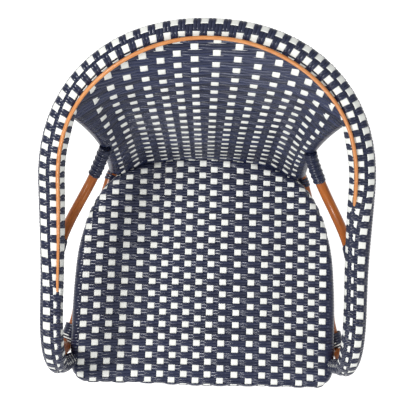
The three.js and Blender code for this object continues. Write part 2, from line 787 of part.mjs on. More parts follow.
// Nylon glides with sockets for the feet
const feet = [['front_left', -1, 0], ['front_right', 1, 0], ['rear_left', -1, 1], ['rear_right', 1, 1]];
feet.forEach(([name, side, rear]) => {
  const spot = rear ? postPath(side).getPointAt(0) : V(side * frontLegHalfWidth, -frontLegReach, 0);
  const profile = [[0, 0], [glideRadius, 0], [glideRadius, glideHeight], [0, glideHeight]]
    .map(([x, y]) => new THREE.Vector2(x, y));
  const cup = new THREE.LatheGeometry(profile, glideSides);
  cup.rotateX(Math.PI / 2).translate(spot.x, spot.y, 0);
  const sockets = rear ? postCutters : frontLegCutters;
  add(`glide_${name}`, cut(cup, ...sockets.map((foot) => foot.clone().translate(0, 0, -fitGap))), nylon);
});

// Stand the chair on the floor, centred on its own box
const box = new THREE.Box3().setFromObject(chair);
chair.position.set(0, -(box.min.y + box.max.y) / 2, -box.min.z);
chair.updateMatrixWorld(true);

export default chair;
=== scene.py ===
"""Rattan bistro armchair: strands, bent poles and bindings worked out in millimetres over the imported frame.

The plan is drawn from the centre of the rail's back arc, +Z up, the sitter facing -Y.
"""

import logging
import math
from dataclasses import dataclass, field
from enum import Enum

import bpy
import numpy as np
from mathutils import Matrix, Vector


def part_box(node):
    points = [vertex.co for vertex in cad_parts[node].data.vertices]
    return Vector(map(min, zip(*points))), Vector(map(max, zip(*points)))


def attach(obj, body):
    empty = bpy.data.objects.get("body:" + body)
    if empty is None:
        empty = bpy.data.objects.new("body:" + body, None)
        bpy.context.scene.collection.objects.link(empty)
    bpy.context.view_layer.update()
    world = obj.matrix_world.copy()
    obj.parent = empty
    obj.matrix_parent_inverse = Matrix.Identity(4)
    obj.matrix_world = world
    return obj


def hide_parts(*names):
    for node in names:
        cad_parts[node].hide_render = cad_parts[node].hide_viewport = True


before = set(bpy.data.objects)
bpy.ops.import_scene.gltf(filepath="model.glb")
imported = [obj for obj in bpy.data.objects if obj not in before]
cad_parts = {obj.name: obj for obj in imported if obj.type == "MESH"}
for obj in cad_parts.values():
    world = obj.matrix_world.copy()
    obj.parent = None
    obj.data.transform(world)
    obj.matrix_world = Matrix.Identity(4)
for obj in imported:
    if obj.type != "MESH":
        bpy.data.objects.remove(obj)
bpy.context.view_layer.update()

log = logging.getLogger("armchair")

MM = 0.001
UP = np.array([0.0, 0.0, 1.0])
SIDES = (("left", -1), ("right", 1))
BODY = "root"
STRAP_GAIN = 1.6
ARC_STATIONS = 240
TINY = 1e-3


def unit(vectors: np.ndarray) -> np.ndarray:
    """Each vector over its own length."""
    return vectors / np.maximum(np.linalg.norm(vectors, axis=-1, keepdims=True), 1e-12)


def dot(a: np.ndarray, b: np.ndarray) -> np.ndarray:
    """Products of vectors, kept as a last axis of one."""
    return np.sum(a * b, axis=-1, keepdims=True)


def squared(vectors: np.ndarray, along: np.ndarray) -> np.ndarray:
    """The part of each vector at right angles to the way along, made unit long."""
    return unit(vectors - dot(vectors, along) * along)


def smooth(share: np.ndarray) -> np.ndarray:
    """Eased step: 3t squared less 2t cubed, with t held between 0 and 1."""
    t = np.clip(share, 0.0, 1.0)
    return t * t * (3 - 2 * t)


def ease(value: np.ndarray, start: float, reach: float) -> np.ndarray:
    """Eased step of a value from a start, over a reach."""
    return smooth((value - start) / reach)


def flattened(wave: np.ndarray) -> np.ndarray:
    """A wave from -1 to 1 made flat at its tops: gained, held between -1 and 1, and turned into a sine."""
    return np.sin(np.pi / 2 * np.clip(STRAP_GAIN * wave, -1, 1))


def over_under(at: np.ndarray, centres: np.ndarray, signs: np.ndarray, half: float,
               edge: float) -> np.ndarray:
    """Height of a strand across straps: flat beside a strap's centre, and a sine of a straight line between.

    Args:
        at: places along the strand.
        centres: where it crosses each strap.
        signs: 1 where it goes over a strap, -1 where it goes under.
        half: half the flat length at a strap.
        edge: length beyond the last straps over which it comes back to level.

    Returns:
        Heights from -1 to 1.
    """
    knots = np.stack([centres - half, centres + half], axis=1).reshape(-1)
    knots = np.concatenate([[knots[0] - edge], knots, [knots[-1] + edge]])
    return np.sin(np.pi / 2 * np.interp(at, knots, np.concatenate([[0], np.repeat(signs, 2), [0]])))


def between(low: float, high: float, share: np.ndarray) -> np.ndarray:
    """Value a share of the way from low to high."""
    return low + (high - low) * share


def run(points: np.ndarray) -> np.ndarray:
    """Length along each line of points from its first point."""
    steps = np.linalg.norm(np.diff(points, axis=-2), axis=-1)
    return np.concatenate([np.zeros(steps.shape[:-1] + (1,)), np.cumsum(steps, axis=-1)], axis=-1)


def sample(values: np.ndarray, at: np.ndarray, where: np.ndarray) -> np.ndarray:
    """Rows of values at the places where, read by straight lines between the places at.

    Args:
        values: one row per known place, shape (N, 3).
        at: the known places, rising, shape (N,).
        where: the places asked for, any shape.

    Returns:
        The rows there, shape of where plus (3,).
    """
    return np.stack([np.interp(where, at, axis) for axis in values.T], axis=-1)


def evenly(points: np.ndarray, count: int) -> np.ndarray:
    """The same line with its points the same length apart."""
    length = run(points)
    return sample(points, length, np.linspace(0, length[-1], count))


def ways(points: np.ndarray, closed: bool = False) -> np.ndarray:
    """Unit way along each line: the next point less the one before.

    Args:
        points: lines of points, shape (..., N, 3).
        closed: whether the last point joins the first.

    Returns:
        One unit way per point.
    """
    if closed:
        return unit(np.roll(points, -1, axis=-2) - np.roll(points, 1, axis=-2))
    return unit(np.gradient(points, axis=-2))


def spline(marks: np.ndarray, steps: int, closed: bool = False) -> np.ndarray:
    """Smooth curve through marks: a cubic between each two, its knots the root of their distance apart.

    Args:
        marks: points that the curve passes through, shape (N, 3).
        steps: points made between two marks.
        closed: whether the last mark joins the first.

    Returns:
        The curve's points, the last mark among them on an open curve.
    """
    if closed:
        padded = np.concatenate([marks[-1:], marks, marks[:2]])
    else:
        padded = np.concatenate([2 * marks[:1] - marks[1:2], marks, 2 * marks[-1:] - marks[-2:-1]])
    p0, p1, p2, p3 = (padded[i : len(padded) - 3 + i] for i in range(4))
    d0, d1, d2 = (np.sqrt(np.linalg.norm(b - a, axis=1))[:, None] for a, b in ((p0, p1), (p1, p2), (p2, p3)))
    leave = (p1 - p0) / d0 * d1 - (p2 - p0) / (d0 + d1) * d1 + (p2 - p1)
    arrive = (p2 - p1) - (p3 - p1) / (d1 + d2) * d1 + (p3 - p2) / d2 * d1
    t = (np.arange(steps) / steps)[None, :, None]
    a, b, c, d = (term[:, None, :] for term in (p1, leave, -3 * p1 + 3 * p2 - 2 * leave - arrive,
                                                 2 * p1 - 2 * p2 + leave + arrive))
    points = (a + b * t + c * t**2 + d * t**3).reshape(-1, 3)
    return points if closed else np.concatenate([points, marks[-1:]])


class Section(Enum):
    """Cut across a strand: how many corners it has and how square it is."""

    STRAP = (8, 5.0, 0.5)
    STRAND = (10, 2.3, 0.0)

    def outline(self) -> np.ndarray:
        """Points of a superellipse, |x|^p + |y|^p = 1, stretched so that it reaches 1 both ways.

        Returns:
            Corners, shape (N, 2).
        """
        corners, power, start = self.value
        turn = 2 * np.pi * (np.arange(corners) + start) / corners
        circle = np.stack([np.cos(turn), np.sin(turn)], axis=1)
        shape = np.sign(circle) * np.abs(circle) ** (2 / power)
        return shape / np.abs(shape).max(axis=0)


class Bundle:
    """Strands and poles that make one piece, gathered as arrays and written to one mesh."""

    drawing_shift = np.zeros(3)

    def __init__(self, name: str) -> None:
        """Starts an empty piece.

        Args:
            name: the piece's name.
        """
        self.name = name
        self.points: list[np.ndarray] = []
        self.tones: list[np.ndarray] = []
        self.marks: list[np.ndarray] = []
        self.faces: list[np.ndarray] = []
        self.sizes: list[np.ndarray] = []
        self.maps: list[np.ndarray] = []
        self.count = 0

    def grid(self, rings: np.ndarray, tone: float, mark: np.ndarray | float = 0.0) -> None:
        """Adds a strand: closed rings joined along it, with a flat cap at both ends.

        Args:
            rings: points, shape (stations, corners, 3), corners turning left seen against the way along.
            tone: the strand's shade, 0 to 1.
            mark: one value per station, such as a pole's nodes, or one for all.
        """
        stations, corners, _ = rings.shape
        number = np.arange(stations * corners).reshape(stations, corners) + self.count
        after = np.roll(number, -1, axis=1)
        quads = np.stack([number[:-1], after[:-1], after[1:], number[1:]], axis=-1)
        girth = np.linalg.norm(rings[0] - np.roll(rings[0], -1, axis=0), axis=1)
        around = np.concatenate([[0], np.cumsum(girth)]) * MM
        u = np.broadcast_to((run(rings[:, 0]) * MM)[:, None], (stations, corners))
        v = np.broadcast_to(around[None], (stations, corners + 1))
        u_quad = np.stack([u[:-1], u[:-1], u[1:], u[1:]], axis=-1)
        v_quad = np.stack([v[:-1, :-1], v[:-1, 1:], v[1:, 1:], v[1:, :-1]], axis=-1)
        ends = [np.stack([u[place], v[place, :-1]], axis=-1) for place in (0, -1)]
        self.faces += [quads.reshape(-1), number[0, ::-1], number[-1]]
        self.sizes += [np.full(quads.size // 4, 4), np.full(2, corners)]
        self.maps += [np.stack([u_quad, v_quad], axis=-1).reshape(-1, 2), *ends]
        self.points.append(rings.reshape(-1, 3))
        self.tones.append(np.full(stations * corners, tone))
        self.marks.append(np.repeat(np.broadcast_to(np.asarray(mark, float), (stations,)), corners))
        self.count += stations * corners

    def strand(self, path: np.ndarray, lift: np.ndarray, half_width: np.ndarray | float,
               half_thick: float, section: Section, tone: float) -> None:
        """Carries a flat section along a path: point + across * width + lift * thickness.

        Args:
            path: centre line, shape (stations, 3).
            lift: the way the strand's flat side faces, the same shape.
            half_width: half the strand's width, per station or one for all.
            half_thick: half its thickness.
            section: the cut across it.
            tone: its shade.
        """
        along = ways(path)
        across = squared(np.cross(along, lift), along)
        face = np.cross(across, along)
        outline = section.outline()[::-1]
        width = np.broadcast_to(half_width, path.shape[:1])[:, None, None]
        sideways = across[:, None] * width * outline[:, :1]
        self.grid(path[:, None] + sideways + face[:, None] * half_thick * outline[:, 1:], tone)

    def round_bar(self, path: np.ndarray, reference: np.ndarray, radius: np.ndarray | float, sides: int,
                  tone: float, mark: np.ndarray | float = 0.0) -> None:
        """Carries a circle along one path.

        Args:
            path: centre line, shape (stations, 3).
            reference: a way never along the path, one for all or one per station.
            radius: one for all or one per station.
            sides: corners of the circle.
            tone: the bar's shade.
            mark: one value per station.
        """
        along = ways(path)
        first = squared(np.broadcast_to(reference, path.shape), along)
        second = np.cross(along, first)
        turn = 2 * np.pi * np.arange(sides) / sides
        size = np.broadcast_to(radius, path.shape[:1])[:, None, None]
        circle = first[:, None] * np.cos(turn)[:, None] + second[:, None] * np.sin(turn)[:, None]
        self.grid(path[:, None] + size * circle, tone, mark)

    def build(self, finish: "Finish", slot: str, *nodes: str) -> bpy.types.Object:
        """Writes the mesh in metres and hands the piece to the frame.

        Args:
            finish: its material.
            slot: not used.
            nodes: CAD nodes that it stands for.

        Returns:
            The new object, at the origin and unturned.
        """
        mesh = bpy.data.meshes.new(self.name)
        points = (np.concatenate(self.points) + self.drawing_shift) * MM
        faces, sizes = np.concatenate(self.faces), np.concatenate(self.sizes)
        mesh.vertices.add(len(points))
        mesh.vertices.foreach_set("co", points.reshape(-1).astype(np.float32))
        mesh.loops.add(len(faces))
        mesh.loops.foreach_set("vertex_index", faces.astype(np.int32))
        mesh.polygons.add(len(sizes))
        mesh.polygons.foreach_set("loop_start", np.concatenate([[0], np.cumsum(sizes)[:-1]]).astype(np.int32))
        mesh.polygons.foreach_set("loop_total", sizes.astype(np.int32))
        mesh.polygons.foreach_set("use_smooth", sizes == 4)
        surface = mesh.uv_layers.new(name="strand")
        surface.data.foreach_set("uv", np.concatenate(self.maps).reshape(-1).astype(np.float32))
        for name, values in (("tone", self.tones), ("node", self.marks)):
            layer = mesh.attributes.new(name, "FLOAT", "POINT")
            layer.data.foreach_set("value", np.concatenate(values).astype(np.float32))
        mesh.update(calc_edges=True)
        mesh.validate()
        mesh.materials.append(finish.material())
        piece = bpy.data.objects.new(self.name, mesh)
        bpy.context.scene.collection.objects.link(piece)
        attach(piece, BODY)
        if nodes:
            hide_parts(*nodes)
        triangles = int((sizes - 2).sum())
        log.info("%s: %d triangles, stands for %s", self.name, triangles, ", ".join(nodes) or "nothing")
        return piece


def linear(code: str) -> tuple[float, float, float, float]:
    """An sRGB hex colour as linear red, green, blue and alpha.

    Args:
        code: the colour, a hash sign and six digits.

    Returns:
        Four numbers from 0 to 1.
    """
    parts = np.array([int(code[i : i + 2], 16) for i in (1, 3, 5)]) / 255
    values = np.where(parts <= 0.04045, parts / 12.92, ((parts + 0.055) / 1.055) ** 2.4)
    return (*(float(value) for value in values), 1.0)


def add_node(tree: bpy.types.NodeTree, kind: str, settings: dict | None = None, **inputs) -> bpy.types.Node:
    """Adds a shader node, sets its settings, and sets or links its inputs.

    Args:
        tree: the material's or world's node tree.
        kind: the node's type name.
        settings: properties by name.
        inputs: socket values by name, underscores for spaces; a socket links, and i0 is socket number 0.

    Returns:
        The node.
    """
    node = tree.nodes.new(kind)
    for name, value in (settings or {}).items():
        setattr(node, name, value)
    for name, value in inputs.items():
        numbered = name[0] == "i" and name[1:].isdigit()
        socket = node.inputs[int(name[1:])] if numbered else node.inputs[name.replace("_", " ")]
        if isinstance(value, bpy.types.NodeSocket):
            tree.links.new(value, socket)
        else:
            socket.default_value = value
    return node


def shade_ramp(tree: bpy.types.NodeTree, factor: bpy.types.NodeSocket,
               *stops: tuple[float, str]) -> bpy.types.NodeSocket:
    """Colours read off a factor, each stop a place from 0 to 1 and a hex colour.

    Args:
        tree: the node tree.
        factor: what the colours are read off.
        stops: places and colours, rising.

    Returns:
        The ramp's colour.
    """
    ramp = add_node(tree, "ShaderNodeValToRGB", Fac=factor)
    marks = ramp.color_ramp.elements
    while len(marks) < len(stops):
        marks.new(0.5)
    for mark, (place, code) in zip(marks, stops):
        mark.position = place
        mark.color = linear(code)
    return ramp.outputs["Color"]


def stretched(tree: bpy.types.NodeTree, *scale: float) -> bpy.types.NodeSocket:
    """The strand's own map in metres, along and around it, times a scale each way.

    Args:
        tree: the material's node tree.
        scale: the scale along, around and across.

    Returns:
        The scaled place.
    """
    place = add_node(tree, "ShaderNodeUVMap", {"uv_map": "strand"}).outputs["UV"]
    return add_node(tree, "ShaderNodeVectorMath", {"operation": "MULTIPLY"}, i0=place, i1=scale).outputs[0]


def grown(tree: bpy.types.NodeTree, value: bpy.types.NodeSocket, times: float,
          plus: bpy.types.NodeSocket | float) -> bpy.types.NodeSocket:
    """A value times one number, plus another.

    Args:
        tree: the node tree.
        value: what is multiplied.
        times: by what.
        plus: what is added.

    Returns:
        The sum.
    """
    return add_node(tree, "ShaderNodeMath", {"operation": "MULTIPLY_ADD"}, i0=value, i1=times,
                    i2=plus).outputs[0]


def relief(tree: bpy.types.NodeTree, height: bpy.types.NodeSocket, strength: float,
           depth: float) -> bpy.types.NodeSocket:
    """Normal of a surface whose height follows a value, to a depth in millimetres.

    Args:
        tree: the material's node tree.
        height: the value that it follows.
        strength: its share, 0 to 1.
        depth: its depth in millimetres.

    Returns:
        The normal.
    """
    return add_node(tree, "ShaderNodeBump", Strength=strength, Distance=depth * MM, Height=height).outputs[0]


class Finish:
    """A surface that makes its own material once."""

    def material(self) -> bpy.types.Material:
        """The material, made the first time that it is asked for.

        Returns:
            The material.
        """
        known = bpy.data.materials.get(self.name)
        if known is None:
            known = bpy.data.materials.new(self.name)
            known.use_nodes = True
            tree = known.node_tree
            tree.nodes.clear()
            shader = self.shader(tree)
            add_node(tree, "ShaderNodeOutputMaterial", Surface=shader.outputs[0])
        return known


@dataclass(frozen=True)
class ExtrudedStrand(Finish):
    """Solid-coloured polyethylene strand, extruded with fine grooves along it.

    The eye gets a satin strip with faint lengthwise lines, each strand a shade off its neighbour.
    """

    name: str
    dark: str
    pale: str
    roughness: float
    groove: float = 0.9
    groove_depth: float = 0.06
    lengthwise: float = 12.0
    gloss_range: float = 0.07

    def shader(self, tree: bpy.types.NodeTree) -> bpy.types.Node:
        """Grooves are noise stretched along the strand; the shade is its tone with a little of the noise.

        Args:
            tree: the material's node tree.

        Returns:
            The surface shader.
        """
        place = stretched(tree, self.lengthwise, 1 / (self.groove * MM), 1.0)
        lines = add_node(tree, "ShaderNodeTexNoise", {"noise_dimensions": "2D"}, Vector=place, Scale=1.0,
                         Detail=2.0, Roughness=0.6).outputs["Fac"]
        tone = add_node(tree, "ShaderNodeAttribute", {"attribute_name": "tone"}).outputs["Fac"]
        shift = grown(tree, grown(tree, lines, 0.45, tone), 0.8, -0.1)
        color = shade_ramp(tree, shift, (0.0, self.dark), (1.0, self.pale))
        gloss = add_node(tree, "ShaderNodeMapRange", Value=lines, To_Min=self.roughness - self.gloss_range,
                         To_Max=self.roughness + self.gloss_range)
        return add_node(tree, "ShaderNodeBsdfPrincipled", Base_Color=color, Roughness=gloss.outputs[0],
                        IOR=1.5, Normal=relief(tree, lines, 0.5, self.groove_depth))


@dataclass(frozen=True)
class LacqueredCane(Finish):
    """Peeled rattan pole, flame-browned and lacquered.

    The eye gets caramel wood with long darker streaks, dark rings at its nodes and a clear gloss over it.
    """

    name: str
    deep: str
    body: str
    light: str
    ring: str
    streak: float = 2.2
    cloud: tuple[float, float, float] = (14.0, 40.0, 40.0)
    roughness: float = 0.42

    def shader(self, tree: bpy.types.NodeTree) -> bpy.types.Node:
        """Streaks are noise stretched along the pole; the node attribute darkens the rings.

        Args:
            tree: the material's node tree.

        Returns:
            The surface shader.
        """
        fine = 1 / (self.streak * MM)
        grain = add_node(tree, "ShaderNodeTexNoise", Vector=stretched(tree, fine / 14, fine, fine), Scale=1.0,
                         Detail=4.0, Roughness=0.62).outputs["Fac"]
        cloud = add_node(tree, "ShaderNodeTexNoise", Vector=stretched(tree, *self.cloud), Scale=1.0,
                         Detail=2.0)
        shift = grown(tree, grown(tree, cloud.outputs["Fac"], 0.6, grain), 1.3, -0.55)
        wood = shade_ramp(tree, shift, (0.0, self.deep), (0.5, self.body), (1.0, self.light))
        ring = add_node(tree, "ShaderNodeAttribute", {"attribute_name": "node"})
        color = add_node(tree, "ShaderNodeMix", {"data_type": "RGBA"}, i0=ring.outputs["Fac"], i6=wood,
                         i7=linear(self.ring))
        return add_node(tree, "ShaderNodeBsdfPrincipled", Base_Color=color.outputs[2],
                        Roughness=self.roughness,
                        IOR=1.45, Coat_Weight=0.3, Coat_Roughness=0.15,
                        Normal=relief(tree, grain, 0.35, 0.15))


@dataclass(frozen=True)
class MouldedNylon(Finish):
    """Injection-moulded nylon, spark-eroded texture.

    The eye gets a dull near-black cup with a fine even grain.
    """

    name: str
    color: str
    grain: float = 0.7
    roughness: float = 0.55

    def shader(self, tree: bpy.types.NodeTree) -> bpy.types.Node:
        """Grain is fine noise in object space.

        Args:
            tree: the material's node tree.

        Returns:
            The surface shader.
        """
        place = add_node(tree, "ShaderNodeTexCoord")
        grain = add_node(tree, "ShaderNodeTexNoise", Vector=place.outputs["Object"],
                         Scale=1 / (self.grain * MM),
                         Detail=2.0)
        color = shade_ramp(tree, grain.outputs["Fac"], (0.3, self.color), (1.0, "#3a3532"))
        return add_node(tree, "ShaderNodeBsdfPrincipled", Base_Color=color, Roughness=self.roughness,
                        IOR=1.53,
                        Normal=relief(tree, grain.outputs["Fac"], 0.4, 0.05))


@dataclass(frozen=True)
class ZincPlate(Finish):
    """Bright zinc plate on steel.

    The eye gets a pale grey metal, cloudy in its gloss.
    """

    name: str
    color: str
    cloud: float = 3.0

    def shader(self, tree: bpy.types.NodeTree) -> bpy.types.Node:
        """The gloss follows cloudy noise in object space.

        Args:
            tree: the material's node tree.

        Returns:
            The surface shader.
        """
        place = add_node(tree, "ShaderNodeTexCoord")
        cloud = add_node(tree, "ShaderNodeTexNoise", Vector=place.outputs["Object"],
                         Scale=1 / (self.cloud * MM))
        gloss = add_node(tree, "ShaderNodeMapRange", Value=cloud.outputs["Fac"], To_Min=0.25, To_Max=0.45)
        return add_node(tree, "ShaderNodeBsdfPrincipled", Base_Color=linear(self.color), Metallic=1.0,
                        Roughness=gloss.outputs[0])


NAVY = ExtrudedStrand("navy_polyethylene_strand", "#12162a", "#2e3553", 0.26)
WHITE = ExtrudedStrand("white_polyethylene_strap", "#e4e6e0", "#f5f6f2", 0.42, groove=1.6, groove_depth=0.04)
CARAMEL = LacqueredCane("caramel_rattan_pole", "#743503", "#a2540b", "#c27222", "#45200a")
PALE_CANE = LacqueredCane("pale_split_cane", "#b06a34", "#cc8448", "#e4a86c", "#a86a38", streak=1.1)
NYLON = MouldedNylon("black_nylon_glide", "#1f1c1a")
ZINC = ZincPlate("zinc_plated_steel", "#c3c6ca")


@dataclass
class ChairPlan:
    """Lines that the chair is built on, in millimetres, as the solids have them."""

    seat_height: float = 455.0
    arm_height: float = 650.0
    back_height: float = 832.0
    gap: float = 0.3
    rail_half_width: float = 256.0
    rail_depth: float = 250.5
    rail_squareness: float = 0.909
    rail_level: float = 560.0
    rail_drop_power: float = 1.6
    arm_reach: float = 301.0
    arm_swell: float = 2.0
    curl_lean: float = 8.0
    curl_radius: float = 105.0
    tail_foot: tuple[float, float] = (240.0, -309.0)
    seat_half_width: float = 242.0
    seat_front: float = 350.0
    seat_back: float = 72.0
    rim_radius: float = 14.3
    hoop_radius: float = 11.0
    leg_radius: float = 12.5
    side_rail_radius: float = 9.0
    leg_reach: float = 288.0
    post_half_width: float = 166.0
    post_reach: float = 47.0
    post_foot_spread: float = 12.0
    post_foot_sweep: float = 80.0
    knee_share: float = 0.5
    knee_bend_share: float = 0.125
    back_top_share: float = 0.66
    back_low_reach: float = 64.0
    back_fan_power: float = 2.5
    back_lift: float = 3.0
    flare: tuple[float, ...] = (0.249, 0.582, 0.169)
    hoop_shares: tuple[tuple[float, float], ...] = (
        (0, 1), (0.44, 0.965), (0.66, 0.915), (0.785, 0.845), (0.88, 0.745), (0.955, 0.6), (0.985, 0.45),
        (1, 0.22), (1, 0.08), (0.985, 0.025), (0.93, 0.002), (0.8, 0), (0.45, 0), (0, -0.004),
    )
    hoop_steps: int = 60
    foot_height: float = 5.3

    def __post_init__(self) -> None:
        """Works out the heights that follow and the hoop's closed line."""
        self.hoop_height = self.seat_height - self.rim_radius
        self.hoop_half = self.seat_half_width - self.rim_radius
        self.hoop_front = self.rim_radius - self.seat_front
        self.hoop_depth = self.seat_back - self.rim_radius - self.hoop_front
        self.leg_half_width = self.seat_half_width + self.gap + self.leg_radius
        self.side_rail_height = self.hoop_height - self.rim_radius - self.gap - self.side_rail_radius
        self.seat_middle = self.hoop_front + self.hoop_depth / 2
        shares = np.array(self.hoop_shares)
        right = np.stack([shares[:, 0] * self.hoop_half, self.hoop_front + shares[:, 1] * self.hoop_depth,
                          np.full(len(shares), self.hoop_height)], axis=1)
        left = right[1:-1][::-1] * (-1, 1, 1)
        self.hoop_marks = np.concatenate([right, left])
        self.hoop = spline(self.hoop_marks, self.hoop_steps, closed=True)
        along = ways(self.hoop, closed=True)
        self.hoop_out = np.stack([along[:, 1], -along[:, 0], np.zeros(len(along))], axis=1)
        towards = dot(self.hoop_out, self.hoop - (0, self.seat_middle, self.hoop_height))
        self.hoop_out = self.hoop_out * np.sign(towards)

    def rail_plan(self, angle: np.ndarray) -> np.ndarray:
        """Back arc in plan: half width times sin to the squareness, and depth times cos to the squareness.

        Args:
            angle: angles from the back's centre, the right side positive.

        Returns:
            Plan places, the shape of angle plus (2,).
        """
        size = np.abs(angle)
        x = np.sign(angle) * self.rail_half_width * np.sin(size) ** self.rail_squareness
        return np.stack([x, self.rail_depth * np.maximum(np.cos(size), 0) ** self.rail_squareness], axis=-1)

    def arm_x(self, share: np.ndarray) -> np.ndarray:
        """Half width at a share of the arms' length: it swells with two thirds of a half wave."""
        return self.rail_half_width + self.arm_swell * np.sin(np.pi * share / 1.5)

    def rail_height(self, length: np.ndarray) -> np.ndarray:
        """Height falls with the square of a sine of the length from the back's centre."""
        share = np.minimum(length / self.rail_level, 1) ** self.rail_drop_power
        return self.back_height - (self.back_height - self.arm_height) * np.sin(np.pi / 2 * share) ** 2

    def rail_arc(self, angle: np.ndarray) -> np.ndarray:
        """Points on the rail's back arc at angles from its centre.

        Args:
            angle: angles from the back's centre, the right side positive.

        Returns:
            Points, the shape of angle plus (3,).
        """
        table = np.linspace(0, np.pi / 2, 2000)
        plan = self.rail_plan(table)
        length = run(np.concatenate([plan, np.zeros((len(plan), 1))], axis=1))
        height = self.rail_height(np.interp(np.abs(angle), table, length))
        return np.concatenate([self.rail_plan(angle), height[..., None]], axis=-1)

    def rail_half(self) -> np.ndarray:
        """Right half of the rail: arc, arm, quarter curl and tail.

        Returns:
            Points from the back's centre to the tail's foot.
        """
        arc = self.rail_arc(np.linspace(0, np.pi / 2, ARC_STATIONS))
        arc_length = run(arc * (1, 1, 0))[-1]
        curl_start = self.curl_radius - self.arm_reach
        share = np.linspace(0, 1, 60)[1:]
        arm_plan = np.stack([self.arm_x(share), curl_start * share], axis=1)
        arm = np.concatenate([arm_plan, self.rail_height(arc_length - curl_start * share)[:, None]], axis=1)
        turn = np.linspace(0, np.pi / 2, 48)[1:]
        end_x = float(self.arm_x(1.0))
        curl = np.stack([end_x - self.curl_lean * (1 - np.cos(turn)),
                         curl_start - self.curl_radius * np.sin(turn),
                         self.arm_height - self.curl_radius * (1 - np.cos(turn))], axis=1)
        marks = curl[-1] + ((*self.tail_foot, self.hoop_height) - curl[-1]) * np.linspace(0, 1, 4)[:, None]
        tail = spline(np.concatenate([curl[-8:-7], marks]), 24)[25:]
        return np.concatenate([arc, arm, curl, tail])

    def back_point(self, u: np.ndarray, v: np.ndarray) -> np.ndarray:
        """Back sheet: u runs from post to post and v from the hoop's height to the rail.

        Width goes from low to top with v to the fan power, depth with the flare, eased straight at the posts,
        and height with v.

        Args:
            u: place across, -1 to 1.
            v: share of the way up.

        Returns:
            Points, the shape of u plus (3,).
        """
        top = self.rail_arc(u * self.back_top_share * np.pi / 2)
        low_y = between(self.back_low_reach, self.post_reach, u * u)
        flare = self.flare[0] * v + self.flare[1] * v**2 + self.flare[2] * v**4
        reach = (1 - u * u) * flare + u * u * v
        low_x = u * self.post_half_width
        return np.stack([low_x + (top[..., 0] - low_x) * v**self.back_fan_power,
                         low_y + (top[..., 1] - low_y) * reach,
                         self.hoop_height + (top[..., 2] - self.hoop_height) * v], axis=-1)

    def post_line(self, side: int) -> np.ndarray:
        """Rear post: foot, knee at half height, then the back's side line.

        Args:
            side: -1 for the left, 1 for the right.

        Returns:
            Its centre line from the foot up.
        """
        u = np.full(9, float(side))
        stile = self.back_point(u, np.linspace(0, 1, 9))
        foot = np.array([side * (self.post_half_width + self.post_foot_spread),
                         self.post_reach + self.post_foot_sweep, self.foot_height])
        bend = np.array([0, -self.post_foot_sweep * self.knee_bend_share, 0])
        knee = between(stile[0], foot, self.knee_share) + bend
        return spline(np.concatenate([[foot, knee], stile]), 16)

    def leg_line(self, side: int) -> np.ndarray:
        """Front leg: straight up, then leaning in under the arm's curl.

        Args:
            side: -1 for the left, 1 for the right.

        Returns:
            Its centre line from the foot up.
        """
        x = side * self.leg_half_width
        top = (side * float(self.arm_x(1.0)), -self.leg_reach, self.arm_height - self.curl_radius / 2)
        return spline(np.array([(x, -self.leg_reach, self.foot_height),
                                (x, -self.leg_reach, self.seat_height), top]), 24)


